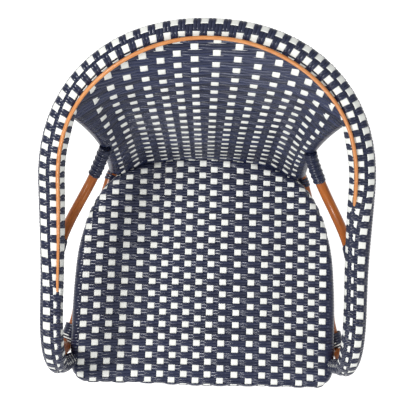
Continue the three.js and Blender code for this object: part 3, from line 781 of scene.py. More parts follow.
@dataclass
class Rail:
    """The woven arm and back rail: a pair of strands wound round six straps, with a slim rod.

    The rod lies on the inner shoulder round the back, and dives under the strands towards the arms' ends.
    """

    plan: ChairPlan
    half_width: float = 21.75
    half_height: float = 14.5
    arm_half_width: float = 19.3
    back_half_width: float = 18.0
    tail_radius: float = 12.0
    skin: float = 1.4
    taper_start: float = 430.0
    taper_length: float = 200.0
    back_ends: tuple[float, float] = (235.0, 330.0)
    period: float = 22.8
    drop_stretch: float = 0.19
    drop_place: float = 525.0
    drop_reach: float = 60.0
    strap_width: float = 12.5
    strap_thick: float = 1.2
    strap_wave: float = 0.4
    strap_step: float = 1.9
    strand_thick: float = 2.4
    strand_wave: float = 1.6
    overlap: float = 1.06
    back_degrees: tuple[float, ...] = (39.5, 124.0, 185.0, 235.0, 281.0, 328.0)
    arm_degrees: tuple[float, ...] = (52.0, 104.0, 156.0, 214.0, 268.0, 324.0)
    front_twist_degrees: tuple[float, ...] = (18.0, 24.0, 9.0, 0.0, 0.0, 0.0)
    right_twist_degrees: tuple[float, ...] = (24.0, 28.0, 9.0, 0.0, 0.0, 0.0)
    signs: tuple[int, ...] = (1, -1, -1, 1, -1, 1)
    turn_in: float = 80.0
    twist_start: float = 400.0
    twist_length: float = 120.0
    front_start: float = 520.0
    front_length: float = 130.0
    winding_start: float = 0.01
    core_radius: float = 7.0
    core_shifts: tuple[float, float] = (10.5, -3.5)
    plateau: float = 3.6
    fall: float = 10.0
    rod_radius: float = 3.2
    rod_arm_radius: float = 2.4
    rod_in_reach: float = 50.0
    rod_slim_reach: float = 150.0
    rod_degrees: tuple[float, float, float] = (116.0, 121.0, 13.0)
    sunk_degrees: float = 18.0
    rod_bow_length: float = 320.0
    cover_left: float = 592.0
    cover_right: float = 427.0
    cover_ease: float = 40.0
    upright_share: float = 0.7
    upright_rise: float = 15.0
    arm_longer: tuple[float, float] = (8.0, -1.0)
    foot_return: float = 0.8
    ridge_height: float = 2.7
    ridge_reach: float = 7.5
    sunk_radius: float = 1.7
    sunk_share: float = 0.62
    samples_a_turn: int = 52
    stations: int = 900
    rod_samples: int = 700
    core_step: float = 3.0

    def __post_init__(self) -> None:
        """Works out the whole rail's stations and how many periods of the winding lie up to each of them."""
        half = evenly(self.plan.rail_half(), self.stations)
        along = ways(half)
        side = np.broadcast_to([1.0, 0.0, 0.0], half.shape)
        level = unit(np.stack([along[:, 1], -along[:, 0], np.zeros(len(along))], axis=1))
        level = level * np.sign(dot(level, half * (1, 1, 0)) + 1e-9)
        out = squared(np.where(half[:, 1:2] > 0, level, side), along)
        up = unit(np.cross(out, along))
        high = half[:, 2] > self.plan.arm_height - self.plan.curl_radius / 2
        wanted = np.where(high[:, None], UP, np.array([0.0, -1.0, 0.0]))
        up = up * np.sign(dot(up, wanted))
        climb = smooth((half[:, 2] - self.plan.arm_height) / self.upright_rise) * self.upright_share
        up = unit(between(up, UP, climb[:, None]))
        length = run(half)
        mirror = np.array([-1, 1, 1])
        self.points = np.concatenate([half[:0:-1] * mirror, half])
        self.out = np.concatenate([out[:0:-1] * mirror, out])
        self.up = np.concatenate([up[:0:-1] * mirror, up])
        self.at = np.concatenate([-length[:0:-1], length])
        self.end = float(length[-1])
        curl_end = self.plan.arm_height - self.plan.curl_radius
        self.tail_start = float(length[np.argmin(np.abs(half[:, 2] - curl_end))])
        far = np.abs(self.at)
        longer = np.where(self.at < 0, *self.arm_longer) * ease(far, self.taper_start, self.taper_length)
        longer = longer * (1 - self.foot_return * ease(far, self.tail_start, self.end - self.tail_start))
        self.points = self.points - longer[:, None] * (0, 1, 0)
        stretch = 1 + self.drop_stretch * np.exp(-(((far - self.drop_place) / self.drop_reach) ** 2))
        periods = np.concatenate([[0], np.cumsum(np.diff(self.at) / (self.period * stretch[1:]))])
        self.periods = periods - np.interp(0, self.at, periods)

    def section(self, length: np.ndarray) -> tuple[np.ndarray, np.ndarray, np.ndarray]:
        """Half width, half height and outward shift of the sleeve at a length from the back's centre.

        The back's sheet takes the inner side's place between the posts, so the sleeve is narrower there.

        Args:
            length: signed lengths from the back's centre.

        Returns:
            Half widths, half heights and shifts.
        """
        far = np.abs(length)
        narrow = ease(far, self.taper_start, self.taper_length)
        reach = self.plan.curl_radius
        tail = smooth((far - (self.tail_start - reach)) / (self.end - self.tail_start + reach))
        free = ease(far, self.back_ends[0], self.back_ends[1] - self.back_ends[0])
        width = between(self.back_half_width, self.half_width, free)
        shift = self.half_width - width
        width = between(between(width, self.arm_half_width, narrow), self.tail_radius, tail)
        return width, between(self.half_height, self.tail_radius, tail), shift

    def place(self, length: np.ndarray) -> tuple[np.ndarray, ...]:
        """Points of the rail's middle line, outward ways and upward ways at signed lengths."""
        return tuple(sample(values, self.at, length) for values in (self.points, self.out, self.up))

    def strap_turn(self, index: int, length: np.ndarray) -> np.ndarray:
        """Angle of a strap round the section: it turns in from the back's centre to the arms.

        Args:
            index: the strap's number.
            length: signed lengths from the back's centre.

        Returns:
            Angles in radians.
        """
        late = 1 - 1 / (1 + (length / self.turn_in) ** 2)
        right = ease(length, self.twist_start, self.twist_length)
        front = ease(np.abs(length), self.front_start, self.front_length)
        twist = between(self.right_twist_degrees[index] * right, self.front_twist_degrees[index], front)
        return np.radians(between(self.back_degrees[index], self.arm_degrees[index], late) + twist)

    def rod_turn(self, length: np.ndarray) -> np.ndarray:
        """Angle of the rod round the section: it bows in beside the back's centre, and where it has dived.

        Args:
            length: signed lengths from the back's centre.

        Returns:
            Angles in radians.
        """
        first, last, bow = self.rod_degrees
        share = np.clip(np.abs(length) / self.rod_bow_length, 0, 1)
        turn = between(first, last, smooth(share)) + bow * np.sin(np.pi * share) ** 2
        return np.radians(turn + self.sunk_degrees * self.sunk(length))

    def sunk(self, length: np.ndarray) -> np.ndarray:
        """Share by which the rod has dived under the strands on the arms: it starts sooner on the right."""
        left = ease(-length, self.cover_left, self.cover_ease)
        return np.maximum(left, ease(length, self.cover_right, self.cover_ease))

    def ridge(self, length: np.ndarray, turn: np.ndarray) -> np.ndarray:
        """Share by which the strands are held up over the dived rod: a squared cosine across it.

        Args:
            length: signed lengths from the back's centre.
            turn: angles round the section.

        Returns:
            Shares from 0 to 1.
        """
        width, height, _ = self.section(length)
        off = np.abs(np.angle(np.exp(1j * (turn - self.rod_turn(length))))) * (width + height) / 2
        return self.sunk(length) * np.cos(np.pi / 2 * np.minimum(off / self.ridge_reach, 1)) ** 2

    def surface(self, length: np.ndarray, turn: np.ndarray,
                lift: np.ndarray) -> tuple[np.ndarray, np.ndarray]:
        """Point and outward way on the sleeve's mid face: an ellipse at each station, raised by lift.

        Args:
            length: signed length from the back's centre.
            turn: angle round the section from its outer side, up and over.
            lift: height off the mid face.

        Returns:
            Points and unit normals.
        """
        width, height, shift = self.section(length)
        width, height = (width - self.skin)[..., None], (height - self.skin)[..., None]
        point, out, up = self.place(length)
        cos, sin = np.cos(turn)[..., None], np.sin(turn)[..., None]
        normal = unit(out * cos / width + up * sin / height)
        point = point + out * (shift[..., None] + width * cos) + up * height * sin
        return point + normal * lift[..., None], normal

    def wave(self, length: np.ndarray, turn: np.ndarray) -> np.ndarray:
        """Over and under round the section: 1 over a strap, -1 under it, 0 between, turned about each turn.

        Args:
            length: signed lengths from the back's centre.
            turn: angles round the section, counted on from turn to turn.

        Returns:
            Heights from -1 to 1.
        """
        width, height, _ = self.section(length)
        total = np.zeros_like(turn)
        for index, sign in enumerate(self.signs):
            off = turn - self.strap_turn(index, length)
            near = np.angle(np.exp(1j * off))
            flip = np.where(np.round((off - near) / (2 * np.pi)) % 2 == 0, 1.0, -1.0)
            middle = turn - near / 2
            speed = np.hypot(width * np.sin(middle), height * np.cos(middle))
            beside = ease(np.abs(near) * speed, self.plateau, self.fall - self.plateau)
            total = total + sign * flip * (1 - beside)
        return total

    def winding(self, name: str, low: float, high: float) -> Bundle:
        """Two strands side by side, wound so that each turn moves half a period towards the left end.

        Args:
            name: the piece's name.
            low: signed length where it starts.
            high: signed length where it ends.

        Returns:
            The strands.
        """
        bundle = Bundle(name)
        shades = np.random.default_rng(11)
        first, last = np.interp([low, high], self.at, self.periods)
        for strand in range(2):
            place = self.winding_start + strand / 4
            turns = np.arange(2 * (place - last) * self.samples_a_turn,
                              2 * (place - first) * self.samples_a_turn)
            turns = np.floor(turns) / self.samples_a_turn
            length = np.interp(place - turns / 2, self.periods, self.at)
            turn = 2 * np.pi * turns
            lift = between(self.strand_wave * self.wave(length, turn), self.ridge_height,
                           self.ridge(length, turn))
            path, normal = self.surface(length, turn, lift)
            pitch = np.interp(place - turns / 2 + 0.125, self.periods, self.at)
            pitch = pitch - np.interp(place - turns / 2 - 0.125, self.periods, self.at)
            bundle.strand(path, normal, pitch / 2 * self.overlap, self.strand_thick / 2, Section.STRAND,
                          shades.uniform(0.3, 0.6))
        return bundle

    def strap_bundle(self) -> Bundle:
        """White straps along the rail: each rises where the strands that cross it dip.

        Returns:
            The straps.
        """
        bundle = Bundle("rail_straps")
        length = np.linspace(-self.end, self.end, int(2 * self.end / self.strap_step))
        width, tall, _ = self.section(length)
        room = np.minimum((width + tall) / (self.arm_half_width + self.half_height), 1)
        for index, sign in enumerate(self.signs):
            turn = self.strap_turn(index, length)
            middle = self.winding_start + 0.125 - turn / (4 * np.pi)
            phase = 2 * np.pi * (np.interp(length, self.at, self.periods) - middle)
            height = -self.strap_wave * sign * flattened(np.cos(phase))
            path, normal = self.surface(length, turn, height)
            bundle.strand(path, normal, self.strap_width / 2 * room, self.strap_thick / 2, Section.STRAP,
                          0.35 + 0.1 * index)
        return bundle

    def rod(self) -> Bundle:
        """Pale rod from curl to curl: it lies on the strands, and under them where it has dived.

        Returns:
            The rod.
        """
        bundle = Bundle("rail_shoulder_rod")
        length = np.linspace(-self.tail_start, self.tail_start, self.rod_samples)
        turn = self.rod_turn(length)
        point, out, up = self.place(length)
        _, height, _ = self.section(length)
        width = between(self.half_width, self.section(length)[0],
                        ease(np.abs(length), self.taper_start, self.rod_in_reach))
        normal = unit(np.stack([np.cos(turn) / width, np.sin(turn) / height], axis=1))
        sunk = self.sunk(length)
        radius = between(self.rod_radius, self.rod_arm_radius,
                         ease(np.abs(length), self.taper_start, self.rod_slim_reach))
        radius = between(radius, self.sunk_radius, sunk)
        stand = (radius + 2 * self.plan.gap) * (1 - sunk)
        inward = between(1.0, self.sunk_share, sunk)
        width, height = width * inward, height * inward
        centre = (point + out * (width * np.cos(turn) + stand * normal[:, 0])[:, None]
                  + up * (height * np.sin(turn) + stand * normal[:, 1])[:, None])
        bundle.round_bar(centre, up, radius, 12, 0.5)
        return bundle

    def core(self, name: str, shift: float, end: float) -> Bundle:
        """Pole inside the sleeve, moved across the section by a shift that fades out on the arms.

        Args:
            name: the piece's name.
            shift: how far outward it lies round the back.
            end: length from the centre at which it ends.

        Returns:
            The pole.
        """
        bundle = Bundle(name)
        length = np.linspace(-end, end, int(end / self.core_step))
        point, out, up = self.place(length)
        arm = ease(np.abs(length), self.taper_start, self.taper_length)
        bundle.round_bar(point + out * (shift * (1 - arm))[:, None], up, self.core_radius, 16, 0.5)
        return bundle

    def build(self) -> None:
        """Makes and dresses the rail's pieces."""
        self.winding("rail_winding_left", -self.end, 0.0).build(NAVY, "woven_strands", "rail_sleeve")
        self.winding("rail_winding_right", 0.0, self.end).build(NAVY, "woven_strands", "rail_sleeve")
        self.strap_bundle().build(WHITE, "woven_strands", "rail_sleeve")
        self.rod().build(PALE_CANE, "pale_cane", "rail_rod")
        outer, inner = self.core_shifts
        self.core("rail_core_outer", outer, self.end - 4).build(CARAMEL, "rattan_pole", "rail_main_pole")
        self.core("rail_core_inner", inner, self.taper_start).build(CARAMEL, "rattan_pole", "rail_inner_pole")


@dataclass
class WovenSeat:
    """Seat weave: white straps front to back, navy strands in pairs across, all rolled round the hoop."""

    plan: ChairPlan
    skin: float = 1.5
    sag: float = 6.0
    roll: float = 46.0
    straps: int = 20
    strap_span: float = 217.3
    strap_centre: float = 3.6
    strap_middle: float = -139.5
    strap_reach: float = 200.0
    strap_lean: float = 1.8
    strap_fan: float = -4.4
    drifts: tuple[tuple[float, float, float], ...] = ((3.6, 0.66, -1.93), (0.8, 1.5, 0.85))
    strap_width: float = 12.3
    strap_thick: float = 1.1
    strap_wave: float = 0.35
    strap_step: float = 1.9
    strand_step: float = 2.6
    rows: int = 38
    row_back: float = 66.6
    row_depth: float = 401.6
    row_quicken: float = 17.5
    row_tilt: float = 2.5
    front_droop: float = 6.0
    back_droop: float = 30.0
    back_droop_share: float = 0.15
    extra_rows: int = 5
    overlap: float = 1.1
    strand_thick: float = 2.2
    strand_wave: float = 1.4
    plateau: float = 3.6
    edge: float = 12.0
    finest: int = 600
    least: int = 40
    binding_width: float = 16.0
    binding_thick: float = 1.2
    binding_stand: float = 1.6

    def __post_init__(self) -> None:
        """Works out the hoop's distance from the seat's middle at each bearing."""
        offset = self.plan.hoop[:, :2] - (0, self.plan.seat_middle)
        bearing = np.arctan2(offset[:, 1], offset[:, 0])
        order = np.argsort(bearing)
        far = np.linalg.norm(offset, axis=1)
        self.bearings = np.concatenate([bearing[order][-1:] - 2 * np.pi, bearing[order],
                                        bearing[order][:1] + 2 * np.pi])
        self.reaches = np.concatenate([far[order][-1:], far[order], far[order][:1]])
        self.radius = self.plan.rim_radius - self.skin

    def nearest(self, place: np.ndarray) -> tuple[np.ndarray, np.ndarray, np.ndarray]:
        """Foot on the hoop's line, its outward way, and how far inside the line a place is.

        Args:
            place: plan places, shape (N, 2).

        Returns:
            Feet (N, 2), ways (N, 2) and depths (N,), negative outside.
        """
        hoop, outward = self.plan.hoop[:, :2], self.plan.hoop_out[:, :2]
        parts = np.array_split(place, 1 + len(place) // 4000)
        index = np.concatenate([np.argmin(((part[:, None] - hoop[None]) ** 2).sum(2), axis=1)
                                for part in parts])
        way = outward[index]
        depth = ((hoop[index] - place) * way).sum(1)
        return place + way * depth[:, None], way, depth

    def surface(self, place: np.ndarray) -> tuple[np.ndarray, np.ndarray]:
        """Mid face of the weave at an unrolled plan place.

        Inside the hoop's line it is a dish: the sag times one less the square of the share of the way out.
        Outside it the distance goes round the rim: the angle from the top is the distance over the radius.

        Args:
            place: plan places, shape (..., 2).

        Returns:
            Points and outward ways, shape (..., 3).
        """
        shape = place.shape[:-1]
        flat = place.reshape(-1, 2)
        foot, way, depth = self.nearest(flat)
        offset = flat - (0, self.plan.seat_middle)
        reach = np.interp(np.arctan2(offset[:, 1], offset[:, 0]), self.bearings, self.reaches)
        share = np.minimum(np.linalg.norm(offset, axis=1) / reach, 1)
        top = self.plan.hoop_height + self.radius
        inside = np.column_stack([flat, top - self.sag * (1 - share**2)])
        slope = -2 * self.sag * share[:, None] / reach[:, None] * unit(offset)
        inside_way = unit(np.column_stack([slope, np.ones(len(flat))]))
        angle = np.pi / 2 - np.maximum(-depth, 0) / self.radius
        around = np.column_stack([way * np.cos(angle)[:, None], np.sin(angle)])
        outside = np.column_stack([foot, np.full(len(flat), self.plan.hoop_height)]) + self.radius * around
        inner = (depth >= 0)[:, None]
        point, normal = np.where(inner, inside, outside), np.where(inner, inside_way, around)
        return point.reshape(*shape, 3), normal.reshape(*shape, 3)

    def strap_x(self, index: np.ndarray, y: np.ndarray) -> np.ndarray:
        """Where a strap crosses a line across: evenly spread, leaning and fanning, and drifting as two sines.

        Args:
            index: the strap's number.
            y: place front to back.

        Returns:
            Places across.
        """
        share = (index - (self.straps - 1) / 2) / ((self.straps - 1) / 2)
        back = (y - self.strap_middle) / self.strap_reach
        drift = sum(size * np.sin(step * index + start) for size, step, start in self.drifts)
        fan = self.strap_fan * share * back
        return self.strap_centre + self.strap_span * share + self.strap_lean * back + fan + drift

    def row_y(self, row: np.ndarray, x: np.ndarray) -> np.ndarray:
        """Where a row of strands runs: closer towards the back, its ends drooping at front and back.

        Args:
            row: the row's number, with its strand's part.
            x: place across.

        Returns:
            Places front to back.
        """
        share = row / self.rows
        side = x / self.plan.hoop_half
        line = self.row_back - self.row_depth * share - self.row_quicken * share**2
        front = self.front_droop * side**4 * np.clip(share, 0, 1) ** 3
        back = self.back_droop * side**2 * np.clip(1 - share / self.back_droop_share, 0, 1)
        return line - front - back + self.row_tilt * side

    def across(self, name: str, rows: range) -> Bundle:
        """Navy strands across the seat, two to a row, over and under the straps in turn.

        Args:
            name: the piece's name.
            rows: the rows that it holds.

        Returns:
            The strands.
        """
        bundle = Bundle(name)
        shades = np.random.default_rng(23 + self.extra_rows + rows.start)
        index = np.arange(self.straps)
        spread = np.linspace(-self.plan.hoop_half - self.roll, self.plan.hoop_half + self.roll, self.finest)
        for row in rows:
            for part in (-0.25, 0.25):
                line = np.stack([spread, self.row_y(row + part, spread)], axis=1)
                depth = self.nearest(line)[2]
                held = np.flatnonzero(depth > -self.roll)
                if len(held) < self.least:
                    continue
                x = np.linspace(spread[held[0]], spread[held[-1]],
                                max(int((spread[held[-1]] - spread[held[0]]) / self.strand_step), 8))
                y = self.row_y(row + part, x)
                centres = self.strap_x(index, y[len(y) // 2])
                signs = np.where((index + row) % 2 == 0, -1.0, 1.0)
                height = self.strand_wave * over_under(x, centres, signs, self.plateau, self.edge)
                point, normal = self.surface(np.stack([x, y], axis=1))
                point = point + normal * height[:, None]
                pitch = (self.row_y(row + part - 0.25, x) - self.row_y(row + part + 0.25, x)) * self.overlap
                bundle.strand(point, normal, pitch / 2, self.strand_thick / 2, Section.STRAND,
                              shades.uniform(0.2, 0.7))
        return bundle

    def along(self) -> Bundle:
        """White straps from the front rim to the back rim.

        Returns:
            The straps.
        """
        bundle = Bundle("seat_straps")
        shades = np.random.default_rng(29)
        spread = np.linspace(self.plan.hoop_front - self.roll,
                             self.plan.hoop_front + self.plan.hoop_depth + self.roll, 700)
        rows = np.arange(-self.extra_rows, self.rows + self.extra_rows + 1)
        for index in range(self.straps):
            line = np.stack([self.strap_x(index, spread), spread], axis=1)
            depth = self.nearest(line)[2]
            held = np.flatnonzero(depth > -self.roll)
            y = np.linspace(spread[held[0]], spread[held[-1]],
                            int((spread[held[-1]] - spread[held[0]]) / self.strap_step))
            x = self.strap_x(index, y)
            place = self.row_y(rows, np.interp(0, y, x))
            signs = np.where((index + rows) % 2 == 0, 1.0, -1.0)
            values = np.interp(y, place[::-1], signs[::-1])
            height = self.strap_wave * flattened(values)
            point, normal = self.surface(np.stack([x, y], axis=1))
            point = point + normal * height[:, None]
            bundle.strand(point, normal, self.strap_width / 2, self.strap_thick / 2, Section.STRAP,
                          shades.uniform(0.3, 0.8))
        return bundle

    def binding(self) -> Bundle:
        """Flat strand under the rim that holds the cut ends.

        Returns:
            The strand.
        """
        bundle = Bundle("seat_edge_binding")
        angle = np.pi / 2 - (self.roll - 2) / self.radius
        closed = np.concatenate([self.plan.hoop, self.plan.hoop[:1]])
        outward = np.concatenate([self.plan.hoop_out, self.plan.hoop_out[:1]])
        normal = outward * np.cos(angle) + UP * np.sin(angle)
        bundle.strand(closed + normal * (self.radius + self.binding_stand), normal, self.binding_width / 2,
                      self.binding_thick / 2, Section.STRAP, 0.3)
        return bundle

    def build(self) -> None:
        """Makes and dresses the seat's pieces."""
        middle = self.rows // 2
        rear, front = range(-self.extra_rows, middle), range(middle, self.rows + self.extra_rows + 1)
        self.across("seat_strands_rear", rear).build(NAVY, "woven_strands", "woven_seat")
        self.across("seat_strands_front", front).build(NAVY, "woven_strands", "woven_seat")
        self.along().build(WHITE, "woven_strands", "woven_seat")
        self.binding().build(NAVY, "woven_strands", "woven_seat")


@dataclass
class WovenBack:
    """Back weave: straps fanning up from the seat, rows of paired strands wrapped round the posts."""

    plan: ChairPlan
    post_radius: float = 14.4
    ease_reach: float = 58.0
    straps: int = 15
    strap_centre: float = 0.048
    strap_spread: float = 0.939
    strap_widen: float = 0.027
    strap_fan: tuple[float, float] = (-0.041, -0.057)
    strap_side_fan: tuple[float, float] = (-0.03, -0.008)
    strap_level: float = 200.0
    strap_drift: float = -0.017
    drift_step: float = 0.85
    strap_limit: float = 0.965
    side_slim: float = 0.35
    slim_start: float = 0.88
    strap_width: float = 12.3
    strap_thick: float = 1.1
    strap_wave: float = 1.0
    rows: int = 38
    split_row: int = 18
    row_middle: tuple[float, ...] = (438.6, -414.4, -16.9, 181.8, -120.3)
    row_unit: float = 32.0
    row_tilt: float = 9.4
    row_side: tuple[float, ...] = (74.9, -334.7, 392.6, -207.0)
    tuck_share: float = 0.06
    tuck_widen: float = 0.8
    overlap: float = 1.0
    strand_thick: float = 3.2
    strand_wave: float = 0.8
    plateau: float = 3.6
    edge: float = 9.0
    extra_rows: int = 6
    finest: int = 401
    least: int = 30
    samples: int = 190
    strap_samples: int = 230
    tuck_reach: float = 0.8
    wrap_drops: tuple[float, float] = (0.5, 0.3)
    tuck_stand: float = 1.5
    foot: float = 2.0
    shoulder_lift: float = 14.6
    shoulder_reach: float = 140.0
    shoulder_flat: float = 14.0
    rod_head: float = -3.0
    rod_bow: float = 7.0
    table_step: float = 1.5

    def __post_init__(self) -> None:
        """Works out, at each place across, the share v at a length up from the hoop's height."""
        self.u_table = np.linspace(-1, 1, 161)
        v = np.linspace(0, 1.05, 253)
        grid = self.plan.back_point(self.u_table[:, None] * np.ones_like(v), np.ones((161, 1)) * v)
        length = run(grid)
        self.length_table = np.arange(0.0, 466.0, self.table_step)
        self.v_table = np.stack([np.interp(self.length_table, line, v) for line in length])
        self.height_table = length[:, 240]
        rear = self.plan.hoop[:, 1] > self.plan.seat_middle
        rim = (self.plan.hoop + self.plan.hoop_out * (self.plan.rim_radius - self.strand_thick))[rear]
        order = np.argsort(rim[:, 0])
        self.rim_x, self.rim_y = rim[order, 0], rim[order, 1]

    def share_up(self, u: np.ndarray, length: np.ndarray) -> np.ndarray:
        """v at a length up the sheet, read from the table by straight lines both ways.

        Args:
            u: place across, -1 to 1.
            length: length up the sheet.

        Returns:
            Shares of the way up.
        """
        i = np.clip((u + 1) / 2 * (len(self.u_table) - 1), 0, len(self.u_table) - 1.001)
        k = np.clip(length / self.table_step, 0, len(self.length_table) - 1.001)
        i0, k0 = i.astype(int), k.astype(int)
        across, up = i - i0, k - k0
        t = self.v_table
        low = t[i0, k0] * (1 - up) + t[i0, k0 + 1] * up
        high = t[i0 + 1, k0] * (1 - up) + t[i0 + 1, k0 + 1] * up
        return low * (1 - across) + high * across

    def row_length(self, row: np.ndarray, u: np.ndarray) -> np.ndarray:
        """Length up the sheet at which a row runs: a power series in the middle, another at the posts.

        Args:
            row: the row's number, with its strand's part.
            u: place across, -1 to 1.

        Returns:
            Lengths up the sheet.
        """
        share = row / self.row_unit
        middle = sum(part * share**power for power, part in enumerate(self.row_middle))
        side = sum(part * share**power for power, part in enumerate(self.row_side))
        return middle + self.row_tilt * u + side * u**2

    def strap_u(self, index: np.ndarray, length: np.ndarray) -> np.ndarray:
        """Place across of a strap at a length up: spread evenly, drawn together towards the rail, drifting.

        Args:
            index: the strap's number.
            length: length up the sheet.

        Returns:
            Places across, -1 to 1.
        """
        half = (self.straps - 1) / 2
        share = (index - half) / half
        up = (length - self.strap_level) / self.strap_level
        drift = self.strap_drift * np.cos(self.drift_step * (index - half))
        fan = share * (self.strap_fan[0] * up + self.strap_fan[1] * up**2)
        side_fan = share**3 * (self.strap_side_fan[0] * up + self.strap_side_fan[1] * up**2)
        place = (self.strap_centre + self.strap_spread * share + self.strap_widen * share**3
                 + drift + fan + side_fan)
        return np.clip(place, -self.strap_limit, self.strap_limit)

    def surface(self, u: np.ndarray, v: np.ndarray) -> tuple[np.ndarray, np.ndarray]:
        """Sheet eased out over the posts: raised by the post's radius times a squared cosine of the distance.

        Below the tuck share it curves forward to the seat's rim, by a squared share of the gap.

        Args:
            u: place across, -1 to 1.
            v: share of the way up.

        Returns:
            Points and the way towards the sitter.
        """
        across = self.plan.back_point(np.minimum(u + TINY, 1),
                                      v) - self.plan.back_point(np.maximum(u - TINY, -1), v)
        up = self.plan.back_point(u, v + TINY) - self.plan.back_point(u, np.maximum(v - TINY, 0))
        across, up = unit(across), unit(up)
        normal = unit(np.cross(across, up))
        normal = normal * np.sign(-normal[..., 1:2])
        point = self.plan.back_point(u, v)
        post = self.plan.back_point(np.where(u < 0, -1.0, 1.0), v)
        off = np.linalg.norm(point - post, axis=-1)
        share = np.pi / 2 * np.minimum(off / self.ease_reach, 1)
        below = (1 - v) * np.interp(u, self.u_table, self.height_table)
        shoulder = self.shoulder_lift * (1 - ease(below, self.shoulder_flat, self.shoulder_reach))
        raise_by = shoulder + (self.post_radius - shoulder) * np.cos(share) ** 2
        steep = self.post_radius * np.pi / 2 / self.ease_reach * np.sin(2 * share)
        lean = np.sign(u)[..., None] * across
        facing = unit(normal - lean * steep[..., None])
        raised = point + normal * raise_by[..., None]
        gap = np.maximum(raised[..., 1] - np.interp(raised[..., 0], self.rim_x, self.rim_y), 0)
        raised[..., 1] -= gap * np.clip(1 - v / self.tuck_share, 0, 1) ** 2
        return raised, facing

    def top(self, u: np.ndarray) -> np.ndarray:
        """Length up the sheet at which the rod covers its end."""
        head = self.rod_head + self.rod_bow * np.sin(np.pi * np.minimum(np.abs(u) * 0.83, 1)) ** 2
        return np.interp(u, self.u_table, self.height_table) - head

    def wrap(self, side: int, row: np.ndarray) -> tuple[np.ndarray, np.ndarray]:
        """Strand's end round a post: half a circle over the outside, then tucked in behind the sheet.

        Args:
            side: -1 for the left post, 1 for the right.
            row: the row's number, with its strand's part.

        Returns:
            Points and outward ways from the front of the post to the tuck.
        """
        turn = np.linspace(0, np.pi, 16)[1:]
        tuck = np.linspace(0, self.tuck_reach, 8)[1:]
        u = np.full(len(turn) + len(tuck), float(side))
        first, more = self.wrap_drops
        drop = np.concatenate([turn / np.pi * first, first + more * tuck])
        length = self.row_length(row + drop, u)
        v = self.share_up(u, length)
        centre = self.plan.back_point(u, v)
        inner = self.plan.back_point(np.full(len(u), side * 0.96), v)
        up = unit(self.plan.back_point(u, np.minimum(v + TINY, 1))
                  - self.plan.back_point(u, np.maximum(v - TINY, 0)))
        outward = squared(centre - inner, up)
        normal = np.cross(outward, up)
        normal = normal * np.sign(-normal[:, 1:2])
        circle_out, circle_front = np.sin(turn), np.cos(turn)
        off = tuck * self.ease_reach
        behind = np.cos(np.pi / 2 * tuck) ** 2
        out_share = np.concatenate([circle_out * self.post_radius, -off])
        under = -self.post_radius * behind - self.tuck_stand
        front_share = np.concatenate([circle_front * self.post_radius, under])
        steep = self.post_radius * np.pi / 2 / self.ease_reach * np.sin(np.pi * tuck)
        face_out = np.concatenate([circle_out, -steep])
        face_front = np.concatenate([circle_front, -np.ones(len(tuck))])
        point = centre + outward * out_share[:, None] + normal * front_share[:, None]
        return point, unit(outward * face_out[:, None] + normal * face_front[:, None])

    def across(self, name: str, rows: range) -> Bundle:
        """Navy strands in rows, over and under the straps, wrapped round the posts or cut at rail and seat.

        Args:
            name: the piece's name.
            rows: the rows that it holds.

        Returns:
            The strands.
        """
        bundle = Bundle(name)
        shades = np.random.default_rng(40 + rows.start)
        index = np.arange(self.straps)
        fine = np.linspace(-1, 1, self.finest)
        for row in rows:
            level = self.strap_u(index, np.array(self.strap_level))
            centres = self.strap_u(index, self.row_length(np.array(row), level))
            signs = np.where((index + row) % 2 == 0, 1.0, -1.0)
            for part in (-0.25, 0.25):
                length = self.row_length(row + part, fine)
                held = np.flatnonzero((length > self.foot) & (length < self.top(fine)))
                if len(held) < self.least:
                    continue
                u = np.linspace(fine[held[0]], fine[held[-1]], self.samples)
                v = self.share_up(u, self.row_length(row + part, u))
                point, normal = self.surface(u, v)
                reach = np.linalg.norm(self.plan.back_point(np.array(1.0), v[-1])
                                       - self.plan.back_point(np.array(-1.0), v[-1])) / 2
                half = self.plateau / reach
                height = self.strand_wave * over_under(u, centres, signs, half, self.edge / reach)
                point = point + normal * height[:, None]
                lines, facings = [point], [normal]
                if held[0] == 0:
                    tip, face = self.wrap(-1, np.array(row + part))
                    lines.insert(0, tip[::-1])
                    facings.insert(0, face[::-1])
                if held[-1] == len(fine) - 1:
                    tip, face = self.wrap(1, np.array(row + part))
                    lines.append(tip)
                    facings.append(face)
                pitch = (self.row_length(row + part - 0.25, u)
                         - self.row_length(row + part + 0.25, u)) * self.overlap
                width = pitch * (1 + self.tuck_widen * np.clip(1 - v / self.tuck_share, 0, 1))
                widths = [np.full(len(lines[0]), width[0])] * (held[0] == 0) + [width]
                widths += [np.full(len(lines[-1]), width[-1])] * (held[-1] == len(fine) - 1)
                bundle.strand(np.concatenate(lines), np.concatenate(facings), np.concatenate(widths) / 2,
                              self.strand_thick / 2, Section.STRAND, shades.uniform(0.0, 1.0))
        return bundle

    def upward(self) -> Bundle:
        """White straps fanning from the seat up into the rail.

        Returns:
            The straps.
        """
        bundle = Bundle("back_straps")
        shades = np.random.default_rng(37)
        rows = np.arange(-self.extra_rows - 2, self.rows + self.extra_rows)
        for index in range(self.straps):
            top = float(self.top(self.strap_u(index, np.array(2 * self.strap_level))))
            length = np.linspace(self.foot, top, self.strap_samples)
            u = self.strap_u(index, length)
            v = self.share_up(u, length)
            point, normal = self.surface(u, v)
            middle = self.row_length(rows, u[self.strap_samples // 2])
            place = self.row_length(rows, np.interp(middle, length, u))
            signs = np.where((index + rows) % 2 == 0, -1.0, 1.0)
            values = np.interp(length, place[::-1], signs[::-1])
            height = self.strap_wave * flattened(values)
            point = point + normal * height[:, None]
            slim = 1 - self.side_slim * ease(np.abs(u), self.slim_start, self.strap_limit - self.slim_start)
            bundle.strand(point, normal, self.strap_width / 2 * slim, self.strap_thick / 2, Section.STRAP,
                          shades.uniform(0.3, 0.8))
        return bundle

